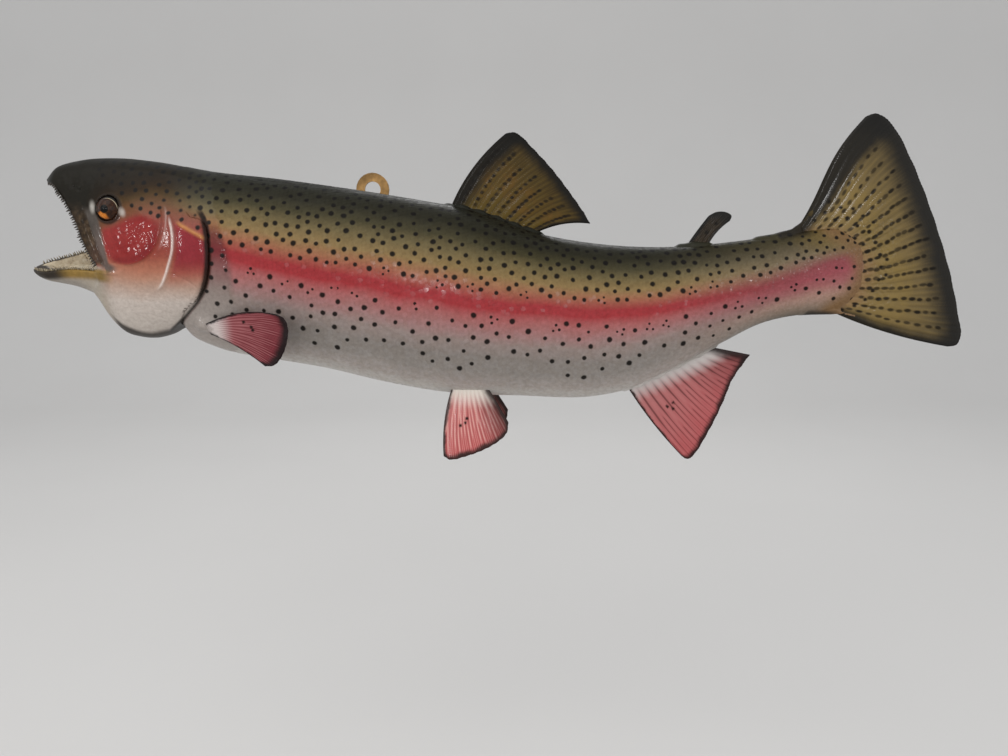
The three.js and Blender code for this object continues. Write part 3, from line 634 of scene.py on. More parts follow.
def scatter_spots():
    """Spots of one flank: (x, distance out, z, radius), thrown at random and kept apart."""
    kept, squares = [], {}

    def square(p):
        return int(p[0] // 16), int(p[2] // 16)

    def far_enough(p, gap):
        cx, cz = square(p)
        near = (squares.get((cx + i, cz + j), []) for i in (-1, 0, 1) for j in (-1, 0, 1))
        return all(np.linalg.norm(p - q) >= (gap + other) / 2 for pairs in near for q, other in pairs)

    def keep(p, gap, radius):
        squares.setdefault(square(p), []).append((p, gap))
        kept.append((*p, radius))

    # Trios of dots along both edges of the stripe.
    x = -88.0
    while x < 322:
        x += rng.uniform(11, 22)
        up = rng.random() < 0.45
        size = float(BACK(x) - TRUNK_BELLY(x)) / FULL_DEPTH
        beside = rng.uniform(8, 11) if up else rng.uniform(-13, -6)
        z = float(STRIPE(x)) + beside * min(1, size + 0.25)
        if x > 326:
            break
        turn = rng.uniform(0, 6.3)
        for k in range(3):
            if rng.random() < 0.12:
                continue
            a = turn + k * 2.1 + rng.uniform(-0.2, 0.2)
            r = rng.uniform(2.0, 2.7)
            px, pz = x + r * math.cos(a), z + r * math.sin(a)
            keep(np.array([px, side_out(px, pz), pz]), 5.0, rng.uniform(0.8, 1.1))
    # The flank: close together over the stripe, sparser under it, and none on the belly.
    for _ in range(FLANK_TRIES):
        x = rng.uniform(-104, 330)
        row = rng.random()
        y, z = ring_point(x, row)
        depth = float(BACK(x) - TRUNK_BELLY(x))
        size = depth / FULL_DEPTH
        d = z - float(STRIPE(x))
        height = (z - float(TRUNK_BELLY(x))) / depth
        if d > 8.5 * min(1, size + 0.35):
            gap, radius = rng.uniform(4.8, 8.4), rng.uniform(1.4, 1.95)
        elif d < -7.5 * min(1, size + 0.35) and height > 0.2 + 0.06 * math.sin(x * 0.07):
            gap, radius = rng.uniform(7.0, 12.0), rng.uniform(1.4, 2.0)
        else:
            continue
        if size < 0.6:
            gap, radius = gap * 0.95, radius * 0.85
        if x > 290:
            gap, radius = gap * 0.78, radius * 0.85
        p = np.array([x, y, z])
        if far_enough(p, gap):
            keep(p, gap, radius)
    # The crown and the side of the head behind the eye.
    for _ in range(CROWN_TRIES):
        x = rng.uniform(-176, -99)
        z = rng.uniform(-36, 10)
        if z > float(BACK(x)) - 2 or z < float(HEAD_SPOT_FLOOR(x)):
            continue
        p = np.array([x, side_out(x, z), z])
        gap = rng.uniform(5.4, 7.6)
        if far_enough(p, gap):
            keep(p, gap, rng.uniform(1.35, 1.75))
    # The bare shoulder behind the gill cover.
    for _ in range(SHOULDER_TRIES):
        x, z = rng.uniform(-97, -84), rng.uniform(-84, -36)
        p = np.array([x, side_out(x, z), z])
        if far_enough(p, 7.5):
            keep(p, 7.5, rng.uniform(1.6, 2.1))
    return np.array(kept)


def side_out(x, z):
    """How far the flank or the side of the head stands out from the middle at (x, z)."""
    trunk = x > -100
    middle, belly, half = (
        (TRUNK_MIDDLE, TRUNK_BELLY, TRUNK_HALF) if trunk else (HEAD_MIDDLE, HEAD_BELLY, HEAD_HALF)
    )
    mid = float(middle(x))
    power = TRUNK_POWER if trunk else HEAD_POWERS[z <= mid]
    reach = float(BACK(x)) - mid if z > mid else mid - float(belly(x))
    v = min(1.0, abs(z - mid) / reach)
    return float(half(x)) * (1 - v**power) ** (1 / power)


SPOTS = {-1: scatter_spots(), 1: scatter_spots()}


def nearest_spots(p, ratio):
    """For each point the lowest distance from a spot's middle over its radius, or the nearest spot."""
    best = np.full(len(p), 9.0)
    which = np.full((len(p), 4), [0.0, 0.0, 0.0, 0.05])
    side = np.where(p[:, 1] < SWING(p[:, 0]), -1, 1)
    away = np.abs(p[:, 1] - SWING(p[:, 0]))
    order = np.argsort(p[:, 0])
    xs = p[order, 0]
    for sign in (-1, 1):
        for x, y, z, radius in SPOTS[sign]:
            i0, i1 = np.searchsorted(xs, [x - radius - 4, x + radius + 4])
            at = order[i0:i1]
            at = at[side[at] == sign]
            out = (away[at] - y) * (1.0 if x > -99 else 0.25)
            d = np.sqrt((p[at, 0] - x) ** 2 + (p[at, 2] - z) ** 2 + out**2)
            d = d / radius if ratio else d - radius
            at, d = at[d < best[at]], d[d < best[at]]
            best[at] = d
            which[at] = (x, y, z, radius)
    return best if ratio else which


def ellipse(x, z, cx, cz, rx, rz, turn=0.0, soft=0.35):
    """1 inside a turned ellipse and 0 outside it, with a soft edge."""
    c, s = math.cos(turn), math.sin(turn)
    u = ((x - cx) * c + (z - cz) * s) / rx
    w = (-(x - cx) * s + (z - cz) * c) / rz
    return ease(np.hypot(u, w), 1 + soft, 1 - soft)


RED_TOP = line([(-176, -35), (-163, -35.5), (-152, -31), (-144, -28), (-128, -26)])
CROWN = line([
    (-216, -60), (-186, -50), (-177, -24), (-168, -14), (-150, -8), (-130, -4.5), (-117, -7.5), (-96, -9),
])


def paint(ob, p, spot=None):
    """Gives a piece of skin or coat the masks that its colours come from."""
    x, y, z = p.T
    # The place from the belly to the back, on the tail, on the bare shoulder and on the head,
    # which ends along the gill cover's rim.
    head = ease(x, -97, lerp(-106, -132, ease(z, -34, -20)))
    back, belly, stripe = BACK(x), TRUNK_BELLY(x), STRIPE(x)
    d = z - stripe
    up = np.clip(d / np.maximum(back - stripe, 5), 0, 1)
    down = np.clip(-d / np.maximum(stripe - belly, 5), 0, 1)
    band = np.where(d > 0, 0.5 + 0.5 * up, 0.5 - 0.5 * down)
    tail = ease(x, 190, 310)
    rim, rim_t = path_distance(GILL_RIM, x, z)
    cover = window(rim_t, 0.01, 0.1, 0.86, 0.97)
    head = lerp(head, ease(rim, 1.3, 0.4), cover)
    shoulder, _ = path_distance(SHOULDER, x, z)
    bare = ease(shoulder, 4.0, -1.5) * (1 - head) * ease(z, -24, -38)
    give(ob, "band", band, tail, bare)

    crown = np.clip((z - CROWN(x) + 30) / 50, 0, 1)
    low = np.clip((-z - 48) / 52 + 0.06 * ease(x, -145, -165), 0, 1)
    mix_low = ease(-z, 42, 58) * ease(x, -181, -172)
    give(ob, "head", crown, head, low)

    # The red square of the cheek, the crimson of the gill cover and the dark margins.
    u, w = np.abs((x + 149.5) / 22), np.abs((z + 44.5) / 17.5)
    square = ease((u**2.5 + w**2.5) ** 0.4, 1.12, 0.8)
    arc, arc_t = path_distance(CHEEK, x, z)
    fold_edge = x + 171.6 + 0.19 * (z + 34.4)
    red = square * ease(arc, 1.4, -0.6) * ease(fold_edge, -0.8, 1.2)
    red = red * ease(z - RED_TOP(x), 2.5, -3.5)
    deep = red * bell(arc + 1.8, 3.2) * ease(arc_t, 0.12, 0.3)
    pre, pre_t = path_distance(PREOPERCLE, x, z)
    crimson = ease(pre, 0.8, 4.5) * ease(z - crease(x), 0.5, -2.0)
    crimson = crimson * ease(z, -80, -57) * ease(x, -95, -99)
    # The gill cover's dark margin; its soft edge also runs up to about 1.7 mm onto the shoulder behind the
    # rim, as painted shade of the gap there.
    width = lerp(1.5, 0.9, ease(rim_t, 0.52, 0.68))
    dark = ease(np.abs(rim + width - 0.8), width + 0.9, width - 0.5) * ease(rim_t, 0.0, 0.06)
    chin = ease(z - HEAD_BELLY(x) - CHIN(x), 1.6, -2.2)
    chin = chin * window(x, -175, -168, -122, -112)
    dark = np.maximum(dark, 0.95 * chin * head)
    give(ob, "head_a", red * head, crimson * head, dark)

    _, trough, zz = jaw_parts(x, y, z)
    deck = JAW_LIP(x) - zz
    jaw = ease(x, -166, -178) * ease(deck, -4, -1) * head
    strip = window(deck, -1.6, 0.2, 5.0, 9.5) * ease(trough, 0.6, 1.8)
    strip = strip * ease(x, -163, -174) * ease(deck, -3, -1)
    tip = ease(x, -197, -211)
    give(ob, "head_b", deep * head, mix_low * head, jaw)
    # Painted highlight: a gold line along the glossy crease over the opercle.
    streak = bell(z - crease(x), 1.5) * window(x, -119, -114, -100, -97)
    give(ob, "head_e", strip * head, tip, streak * head)

    # The grey skin behind the upper jaw bone, the bone's plate, and the mouth's lining.
    maxi, _ = path_distance(MAXILLA, x, z)
    pale = ease(maxi, -1.0, 1.0) * ease(fold_edge, 0.8, -1.2)
    pale = pale * ease(z, -21, -28) * ease(z, -69, -63) * ease(x, -162, -166)
    corner = ellipse(x, z, -172, -62.6, 9.5, 3.6, -0.1, 0.35)
    pale = np.maximum(pale, corner * ease(maxi, -4, 0))
    plate = ease(maxi, 1.4, 0.2) * ease(z, -16, -34) * ease(z, -62.5, -59)
    plate = plate * ease(x, -168, -172) * head
    deep_in = ease(HEAD_HALF(x) - np.abs(y - SWING(x)), 4.2, 5.6)
    inside = ease(cavity_field(x, y, z), 0.9, -0.2) * deep_in
    inside = np.maximum(inside * ease(x, -146, -150), ease(trough, 0.8, -0.2))
    give(ob, "head_c", pale * head, plate, inside * head)

    eye = np.hypot(x - EYE_X, z - EYE_Z)
    white = ellipse(x, z, -176.5, -22.6, 1.7, 3.4, 0.1, 0.8)
    white = white + ellipse(x, z, -154.6, -26.4, 1.8, 2.6, 0.4, 0.8)
    orbit = ease(eye, 10.8, 9.2) * (1 - 0.9 * np.minimum(white, 1))
    # Painted highlights: pale lines along the edges of the preopercle and the cheek plate, where their
    # rounded ridges catch the light.
    bone = bell(pre, 0.75) * window(pre_t, 0.08, 0.2, 0.8, 0.93)
    bone = np.maximum(bone, 0.3 * bell(arc - 3.5, 0.6) * window(arc_t, 0.1, 0.2, 0.4, 0.55))
    give(ob, "head_d", np.clip(white, 0, 1) * head, orbit * head, bone * head)

    # The dark edges of the tail's root, its ochre flesh, and where it runs out on to the rays.
    edge = (BACK(x) - z) * ease(x, 268, 290) + 99 * ease(x, 285, 262)
    under = (z - TRUNK_BELLY(x)) + 99 * ease(x, 303, 285)
    over = ease(edge, 5.5, 0.5) * ease(x, 309, 297)
    black = np.maximum(over, ease(under, 4.0, 0.5) * ease(x, 325, 314))
    ochre = ease(x, 285, 312) * ease(z, -64, -50)
    end, _ = path_distance(TAIL_ARC, x, z)
    give(ob, "tail", black, ochre, ease(end, -15, -3) * ease(x, 300, 315))

    give(ob, "spot", *(spot or (nearest_spots(p, True), 0 * x, 0 * x)))


# ---------- materials ----------
def srgb(text):
    """Linear colour of a hex code."""
    value = [int(text[i : i + 2], 16) / 255 for i in (1, 3, 5)]
    return tuple(c / 12.92 if c <= 0.04045 else ((c + 0.055) / 1.055) ** 2.4 for c in value) + (1.0,)


class Finish:
    """A material whose nodes are built one after another. Colours are hex codes."""

    def __init__(self, name):
        self.mat = bpy.data.materials.new(name)
        self.mat.use_nodes = True
        self.tree = self.mat.node_tree
        self.tree.nodes.clear()
        self.shader = self.node("BsdfPrincipled", {})
        self.put(self.node("OutputMaterial", {}).inputs["Surface"], self.shader.outputs[0])

    def node(self, kind, sockets, **props):
        """A new node, with its properties and what goes into its sockets."""
        n = self.tree.nodes.new("ShaderNode" + kind)
        for k, v in props.items():
            setattr(n, k, v)
        for k, v in sockets.items():
            self.put(n.inputs[k], v)
        return n

    def put(self, socket, value):
        if isinstance(value, bpy.types.NodeSocket):
            self.tree.links.new(value, socket)
        else:
            socket.default_value = srgb(value) if isinstance(value, str) else value

    def set(self, **inputs):
        for name, value in inputs.items():
            self.put(self.shader.inputs[name.replace("_", " ")], value)

    def varnish(self, weight, rough, normal=None):
        """A clear coat that follows the given normal."""
        self.set(Coat_Weight=weight, Coat_Roughness=rough, Coat_IOR=1.5, IOR=1.4)
        if normal:
            self.set(Coat_Normal=normal)

    def attr(self, name):
        """The three numbers of a per-point attribute."""
        vector = self.node("Attribute", {}, attribute_name=name).outputs["Vector"]
        return self.node("SeparateXYZ", {0: vector}).outputs[:3]

    def value(self, name):
        return self.node("Attribute", {}, attribute_name=name).outputs["Fac"]

    def math(self, op, a, b=0.0, clamp=False):
        return self.node("Math", {0: a, 1: b}, operation=op, use_clamp=clamp).outputs[0]

    def times(self, a, b):
        return self.math("MULTIPLY", a, b)

    def plus(self, a, b, clamp=False):
        return self.math("ADD", a, b, clamp)

    def less(self, a, b):
        return self.math("SUBTRACT", a, b)

    def most(self, a, b):
        return self.math("MAXIMUM", a, b)

    def remap(self, v, a, b, c=0.0, d=1.0):
        """Runs smoothly from c to d as v runs from a to b."""
        sockets = {"Value": v, "From Min": a, "From Max": b, "To Min": c, "To Max": d}
        return self.node("MapRange", sockets, interpolation_type="SMOOTHSTEP").outputs["Result"]

    def mix(self, fac, a, b, blend="MIX"):
        sockets = {"Factor": fac, "A": a, "B": b}
        return self.node("Mix", sockets, data_type="RGBA", blend_type=blend).outputs["Result"]

    def layers(self, colour, *layers):
        """Colours laid over each other: (mask, amount, colour) each."""
        for mask, amount, over in layers:
            colour = self.mix(self.times(mask, amount), colour, over)
        return colour

    def ramp(self, fac, *stops):
        n = self.node("ValToRGB", {0: fac})
        el = n.color_ramp.elements
        while len(el) < len(stops):
            el.new(0.5)
        for e, (at, colour) in zip(el, stops):
            e.position, e.color = at, srgb(colour)
        return n.outputs["Color"]

    def place(self):
        return self.node("TexCoord", {}).outputs["Object"]

    def stretch(self, *scale):
        """The place in the object, with its axes stretched."""
        return self.node("Mapping", {"Vector": self.place(), "Scale": scale}).outputs[0]

    def noise(self, scale, detail, rough, vector=None, distort=0.0):
        return self.node("TexNoise", {
            "Vector": vector or self.place(), "Scale": scale, "Detail": detail, "Roughness": rough,
            "Distortion": distort,
        }).outputs["Fac"]

    def cells(self, scale):
        return self.node("TexVoronoi", {"Vector": self.place(), "Scale": scale}).outputs["Distance"]

    def bump(self, height, strength, distance, under=None):
        sockets = {"Strength": strength, "Distance": distance, "Height": height}
        return self.node("Bump", sockets | ({"Normal": under} if under else {})).outputs[0]


def fish_colour(m):
    """The colour that the skin and the scales share, and the mask of its spots."""
    band, tail, bare = m.attr("band")
    crown, head, low = m.attr("head")
    red, crimson, rim = m.attr("head_a")
    deep, lower, jaw = m.attr("head_b")
    pale, plate, inside = m.attr("head_c")
    white, orbit, bone = m.attr("head_d")
    strip, tip, streak = m.attr("head_e")
    black, ochre, end = m.attr("tail")
    patch = m.noise(45, 3, 0.55)
    off = m.less(patch, 0.5)

    def blotched(one, other):
        return m.ramp(patch, (0.35, one), (0.65, other))

    height = m.plus(band, m.times(off, 0.05))
    flank = m.mix(tail, m.ramp(height, *FLANK_COLOURS), m.ramp(height, *REAR_COLOURS))
    flank = m.layers(
        flank,
        (ochre, 0.7, "#6d5a2e"),
        (end, m.remap(patch, 0.35, 0.65, 0.8, 1.0), "#785c3e"),
        (black, 0.93, "#1d1812"),
        # The bare shoulder, crimson and mauve, with painted shade from the gill cover.
        (bare, 0.8, m.ramp(height, *SHOULDER_COLOURS)),
    )
    skull = m.ramp(m.plus(crown, m.times(off, 0.12)), *CROWN_COLOURS)
    throat = m.ramp(m.plus(low, m.times(off, 0.1)), *THROAT_COLOURS)
    skull = m.layers(
        m.mix(lower, skull, throat),
        (crimson, 0.92, blotched("#78101c", "#87222d")),
        # Painted highlight along the crease over the opercle.
        (streak, 0.7, "#c08548"),
        (red, 0.93, blotched("#7b1013", "#8c2624")),
        (deep, 0.7, "#6e0d10"),
        (jaw, 1.0, m.ramp(m.noise(60, 2, 0.5), (0.3, "#8f8880"), (0.7, "#a59a8b"))),
        (pale, 0.9, blotched("#46413d", "#5b544e")),
        (plate, 0.92, m.ramp(m.noise(260, 3, 0.6), *PLATE_COLOURS)),
        (orbit, 0.85, "#16100c"),
        (white, 0.7, "#bdb8b0"),
        # Painted highlights along the bones' edges.
        (bone, 0.8, "#e6dad2"),
        (strip, 0.95, m.mix(tip, blotched("#6b5420", "#917236"), "#211910")),
        (inside, 0.95, m.ramp(m.noise(260, 4, 0.75), *MOUTH_COLOURS)),
    )
    # The gill cover's dark margin, with painted shade of the gap on the shoulder just behind it.
    colour = m.layers(m.mix(head, flank, skull), (rim, 0.94, "#18130f"))
    grain = m.ramp(m.noise(420, 2, 0.6), (0.25, "#8f8a84"), (0.75, "#ffffff"))
    colour = m.mix(0.3, colour, grain, "MULTIPLY")
    # Spots: the attribute is the way from the spot's middle, in its own radius.
    spot = m.node("Attribute", {}, attribute_name="spot").outputs["Vector"]
    away = m.node("VectorMath", {0: spot}, operation="LENGTH").outputs["Value"]
    ragged = m.plus(away, m.times(m.less(m.noise(330, 2, 0.5), 0.5), 0.5))
    mark = m.remap(ragged, 1.3, 0.66, 0.0, 0.97)
    return m.mix(mark, colour, "#0f0c0a"), mark


# From the belly, 0, to the back, 1, with the stripe at 0.5.
FLANK_COLOURS = (
    (0.0, "#c7c3be"), (0.08, "#a29a95"), (0.15, "#8c8681"), (0.22, "#857e79"), (0.3, "#8f807b"),
    (0.36, "#997371"), (0.43, "#a05e5d"), (0.48, "#983034"), (0.52, "#952d31"), (0.56, "#954b3f"),
    (0.61, "#956549"), (0.67, "#846d46"), (0.75, "#665939"), (0.82, "#3c3720"), (0.89, "#242215"),
    (1.0, "#23231d"),
)
REAR_COLOURS = (
    (0.0, "#655d52"), (0.1, "#8c796b"), (0.2, "#a28175"), (0.3, "#965e5d"), (0.4, "#91484f"),
    (0.5, "#844246"), (0.6, "#7d5d51"), (0.7, "#716450"), (0.8, "#5a503d"), (0.9, "#463e28"),
    (1.0, "#322e1b"),
)
# From the gape to the crown, and from the throat up.
CROWN_COLOURS = (
    (0.0, "#863e35"), (0.1, "#7c4030"), (0.2, "#6d3f26"), (0.3, "#5d3d23"), (0.4, "#433016"),
    (0.5, "#2c1e0e"), (0.6, "#23190e"), (0.7, "#1e170e"), (1.0, "#19160f"),
)
THROAT_COLOURS = (
    (0.0, "#87291b"), (0.15, "#8c4132"), (0.25, "#995944"), (0.35, "#a26852"), (0.45, "#a77b66"),
    (0.55, "#a98d7d"), (0.65, "#b29f93"), (0.75, "#b8aca3"), (1.0, "#b5aba2"),
)
# The bare shoulder behind the gill cover: its own crimson and mauve, darkened with painted shade from the
# gill cover.
SHOULDER_COLOURS = (
    (0.2, "#958b84"), (0.33, "#80736c"), (0.42, "#70504d"), (0.5, "#5c1e22"),
    (0.6, "#5c2220"), (0.68, "#8a5230"), (0.76, "#6f5432"), (0.88, "#3a3426"),
)
PLATE_COLOURS = ((0.3, "#1a120c"), (0.55, "#3d2f20"), (0.75, "#5d4c3a"))
MOUTH_COLOURS = ((0.33, "#5a4a33"), (0.42, "#b3a287"), (0.7, "#d2c5ac"))


def skin_finish():
    m = Finish("trout_skin")
    colour, mark = fish_colour(m)
    normal = m.bump(m.noise(170, 3, 0.55), 0.22, 0.0006)
    normal = m.bump(m.noise(900, 3, 0.6), 0.15, 0.0002, normal)
    normal = m.bump(m.cells(620), 0.1, 0.0003, normal)
    rough = m.remap(m.noise(90, 3, 0.6), 0.3, 0.7, 0.36, 0.5)
    m.set(Base_Color=colour, Roughness=rough, Normal=normal, Specular_IOR_Level=0.1)
    crown, head, _ = m.attr("head")
    _, _, rim = m.attr("head_a")
    band, _, _ = m.attr("band")
    # The crown, the back, the gill cover's rim and the spots are duller.
    dull = m.most(m.times(m.remap(crown, 0.15, 0.5), head), rim)
    dull = m.most(m.most(dull, m.remap(band, 0.75, 0.95)), m.times(mark, 0.8))
    m.varnish(m.less(0.33, m.times(dull, 0.25)), 0.1, normal)
    return m.mat


def scale_finish():
    m = Finish("trout_scales")
    colour, mark = fish_colour(m)
    tone = m.value("tone")
    band, _, _ = m.attr("band")
    # Each scale has a little more or less silver in it.
    colour = m.mix(m.remap(tone, 0.0, 1.0, 0.0, 0.45), colour, "#a8a39b", "SOFT_LIGHT")
    rough = m.remap(tone, 0.0, 1.0, 0.36, 0.48)
    ridges = m.bump(m.noise(1400, 2, 0.5), 0.15, 0.0001)
    m.set(Base_Color=colour, Roughness=rough, Normal=ridges, Specular_IOR_Level=0.1)
    # A few scales near the stripe are glossier than the rest.
    near_stripe = m.times(m.remap(band, 0.4, 0.5), m.remap(band, 0.72, 0.62))
    spark = m.times(m.remap(tone, 0.94, 0.95), near_stripe)
    gloss = m.most(m.remap(band, 0.75, 0.95, 0.15, 0.05), spark)
    m.varnish(m.times(gloss, m.less(1.0, mark)), 0.18, ridges)
    return m.mat


# ---------- pieces ----------
def finish_piece(ob, material, slot, *nodes):
    ob.data.materials.append(material)
    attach(ob, "root")
    if nodes:
        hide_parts(*nodes)


FINE = 0.8


def uneven(parts):
    """Grid lines from (start, end, step) stretches."""
    out = [np.arange(a, b, s) for a, b, s in parts]
    return np.concatenate(out + [[parts[-1][1]]])


def make_skin():
    """The skin from the lips to the end of the tail's flesh, finest on the head."""
    xs = uneven([(-235, -86, FINE), (-86, -70, FINE * 1.4), (-70, 342, FINE * 2.1)])
    ys = np.arange(-96, -3 + FINE, FINE * 1.05)
    zs = np.arange(-160.5, 16, FINE * 1.05)
    points, quads = surface_nets(skin_field, xs, ys, zs)
    settle(points, skin_field)
    ob = mesh_object("trout_skin", points, [quads])
    paint(ob, points)
    finish_piece(
        ob, SKIN, "skin", "head", "throat", "gill_cover_left", "gill_cover_right", "upper_jaw",
        "lower_jaw", "trunk_front", "trunk_rear", "tail_wrist",
    )
    return ob


SKIN = skin_finish()
SCALES = scale_finish()
make_skin()


# ---------- scales ----------
SCALE_ROWS = 57
SCALE_SIDES = 7
# One scale, along the body, across it, and its height over the skin: its rim, the middle of its
# top and the middle of its underside.
SCALE = np.array([
    (-0.55, 0.34, -0.19), (0.30, 0.62, -0.06), (0.85, 0.46, -0.02), (1.14, 0.0, 0.0),
    (0.85, -0.46, -0.02), (0.30, -0.62, -0.06), (-0.55, -0.34, -0.19),
    (0.42, 0.0, -0.01), (0.3, 0.0, -0.42),
])
SCALE = np.vstack([SCALE, SCALE[:SCALE_SIDES]])


def scale_columns():
    """Where the columns of scales stand, closer together behind the gill and towards the tail."""
    columns, x = [], -104.0
    while x < 334:
        columns.append(x)
        _, _, length = ring_arc(x, np.array([0.5]))
        x += 0.98 * length / SCALE_ROWS * lerp(0.75, 1.0, float(ease(x, -104, -70)))
    return np.array(columns)


def make_scales():
    """Overlapping plates over the trunk, in rows that narrow towards the tail."""
    columns = scale_columns()
    rows = np.arange(SCALE_ROWS)
    frac = (rows + 0.5) / SCALE_ROWS
    for sign, name in ((-1, "scales_left"), (1, "scales_right")):

        def column_points(x, f):
            y, z, length = ring_arc(x, f)
            return np.stack([np.full(SCALE_ROWS, x), float(SWING(x)) + sign * y, z], 1), length

        found = []
        for i, x in enumerate(columns):
            f = frac + (0.25 if i % 2 else -0.25) / SCALE_ROWS
            f = f + 0.06 / SCALE_ROWS * np.sin(rows * 12.9898 + i * 78.233)
            here, length = column_points(x, f)
            ahead, _ = column_points(x + 0.5, f)
            beside, _ = column_points(x, f + 0.15 / SCALE_ROWS)
            step = (columns[min(i + 1, len(columns) - 1)] - columns[max(i - 1, 0)]) / 2
            sizes = np.tile((step, length / SCALE_ROWS), (SCALE_ROWS, 1))
            found.append(np.hstack([here, ahead, beside, sizes, frac[:, None]]))
        found = np.vstack(found)
        x, y, z = found[:, :3].T
        gap, _ = path_distance(SHOULDER, x, z)
        end, _ = path_distance(TAIL_ARC, x, z)
        keep = (gap > 0.3) & (end < -1.5)
        if sign > 0:
            wide, tall = np.abs(x - POCKET_X) < POCKET_WIDE + 2, np.abs(z - POCKET_Z) < POCKET_TALL + 2
            keep &= ~(wide & tall & (y > -16))
        found, gap = found[keep], gap[keep]
        root, ahead, beside = found[:, :3], found[:, 3:6], found[:, 6:9]
        pitch, spread, row = found[:, 9:].T
        x, y, z = root.T
        t = unit(ahead - root)
        b = beside - root
        b = unit(b - t * np.sum(t * b, axis=1)[:, None])
        n = np.cross(t, b) * -sign
        outwards = np.stack([0 * x, y - SWING(x), z - TRUNK_MIDDLE(x)], 1)
        n *= np.sign(np.sum(n * outwards, axis=1))[:, None]
        count, k = len(root), len(SCALE)
        jitter = rng.uniform(-1, 1, (count, 4))
        along, across, over = SCALE.T
        # Flat against the skin at the nape and the shoulder, and a little proud along the stripe.
        flat = (ease(x, -102, -60) * ease(gap, 0, 6))[:, None]
        lively = lerp(0.06, 0.13, bell(z - STRIPE(x) - 2, 13))
        lively = lively + 0.16 * bell(gap - 3, 4) * ease(z, -36, -50)
        tilt = (jitter[:, 2:3] * along + jitter[:, 3:] * across) * lively[:, None]
        height = over * lerp(0.15, 1.1, flat) + tilt * flat
        long = (pitch * (1 + 0.04 * jitter[:, 0]))[:, None] * along
        wide = (spread * (1 + 0.04 * jitter[:, 1]))[:, None] * across
        pts = root[:, None] + t[:, None] * long[..., None] + b[:, None] * wide[..., None]
        pts = (pts + n[:, None] * (height[..., None] - 0.04)).reshape(-1, 3)
        top = [(i, (i + 1) % SCALE_SIDES, SCALE_SIDES) for i in range(SCALE_SIDES)]
        rim = SCALE_SIDES + 2
        low = [(rim + b_, rim + a_, SCALE_SIDES + 1) for a_, b_, _ in top]
        tri = np.array(top + low)
        if sign < 0:
            tri = tri[:, ::-1]
        faces = (np.arange(count)[:, None, None] * k + tri[None]).reshape(-1, 3)
        ob = mesh_object(name, pts, [faces])
        ob.data.polygons.foreach_set("use_smooth", np.tile(np.arange(len(tri)) < len(top), count))
        # All of one scale looks to the same spot, so that the spot is round.
        spot = nearest_spots(root + t * 0.45 * pitch[:, None], False)
        sx, sy, sz, radius = np.repeat(spot, k, axis=0).T
        x, y, z = pts.T
        away = np.abs(y - SWING(x))
        paint(ob, pts, ((x - sx) / radius, (away - sy) / radius, (z - sz) / radius))
        give(ob, "tone", np.repeat(rng.random(count), k))
        # The map of the coat: each scale is a small patch at its root's place on the flank.
        place = np.stack([(root[:, 0] + 106) / 446, row], 1) * 0.98 + 0.01
        uv = (place[:, None] + SCALE[:, :2] * (0.0012, 0.0024)).reshape(-1, 2)
        layer = ob.data.uv_layers.new(name="OFBake", do_init=False)
        corners = np.empty(len(ob.data.loops), np.int32)
        ob.data.loops.foreach_get("vertex_index", corners)
        layer.uv.foreach_set("vector", uv[corners].astype(np.float32).ravel())
        finish_piece(ob, SCALES, "skin")


make_scales()


# ---------- fins ----------
def row_spots(u, v, long, wide, rows, start, stop, pitch, length, girth, lean=0.0):
    """Dashes in rows that run out along a fin, from each row's place across it, 0 to 1."""
    out = np.zeros(u.shape)
    for at in rows:
        s = start + rng.uniform(0, 0.4) * pitch / 40
        reach = stop + rng.uniform(-0.05, 0.03)
        while s < reach:
            middle = at + lean * (s - start) + rng.uniform(-0.004, 0.004)
            a = (v - s) * long / (length * rng.uniform(0.75, 1.15) / 2)
            b = (u - middle) * wide / (girth * rng.uniform(0.85, 1.15) / 2)
            m = ease(np.sqrt(a * a + b * b), 1.3, 0.7) * rng.uniform(0.75, 1)
            out = np.maximum(out, m)
            s += pitch * rng.uniform(0.85, 1.15) / float(np.median(long))
    return out


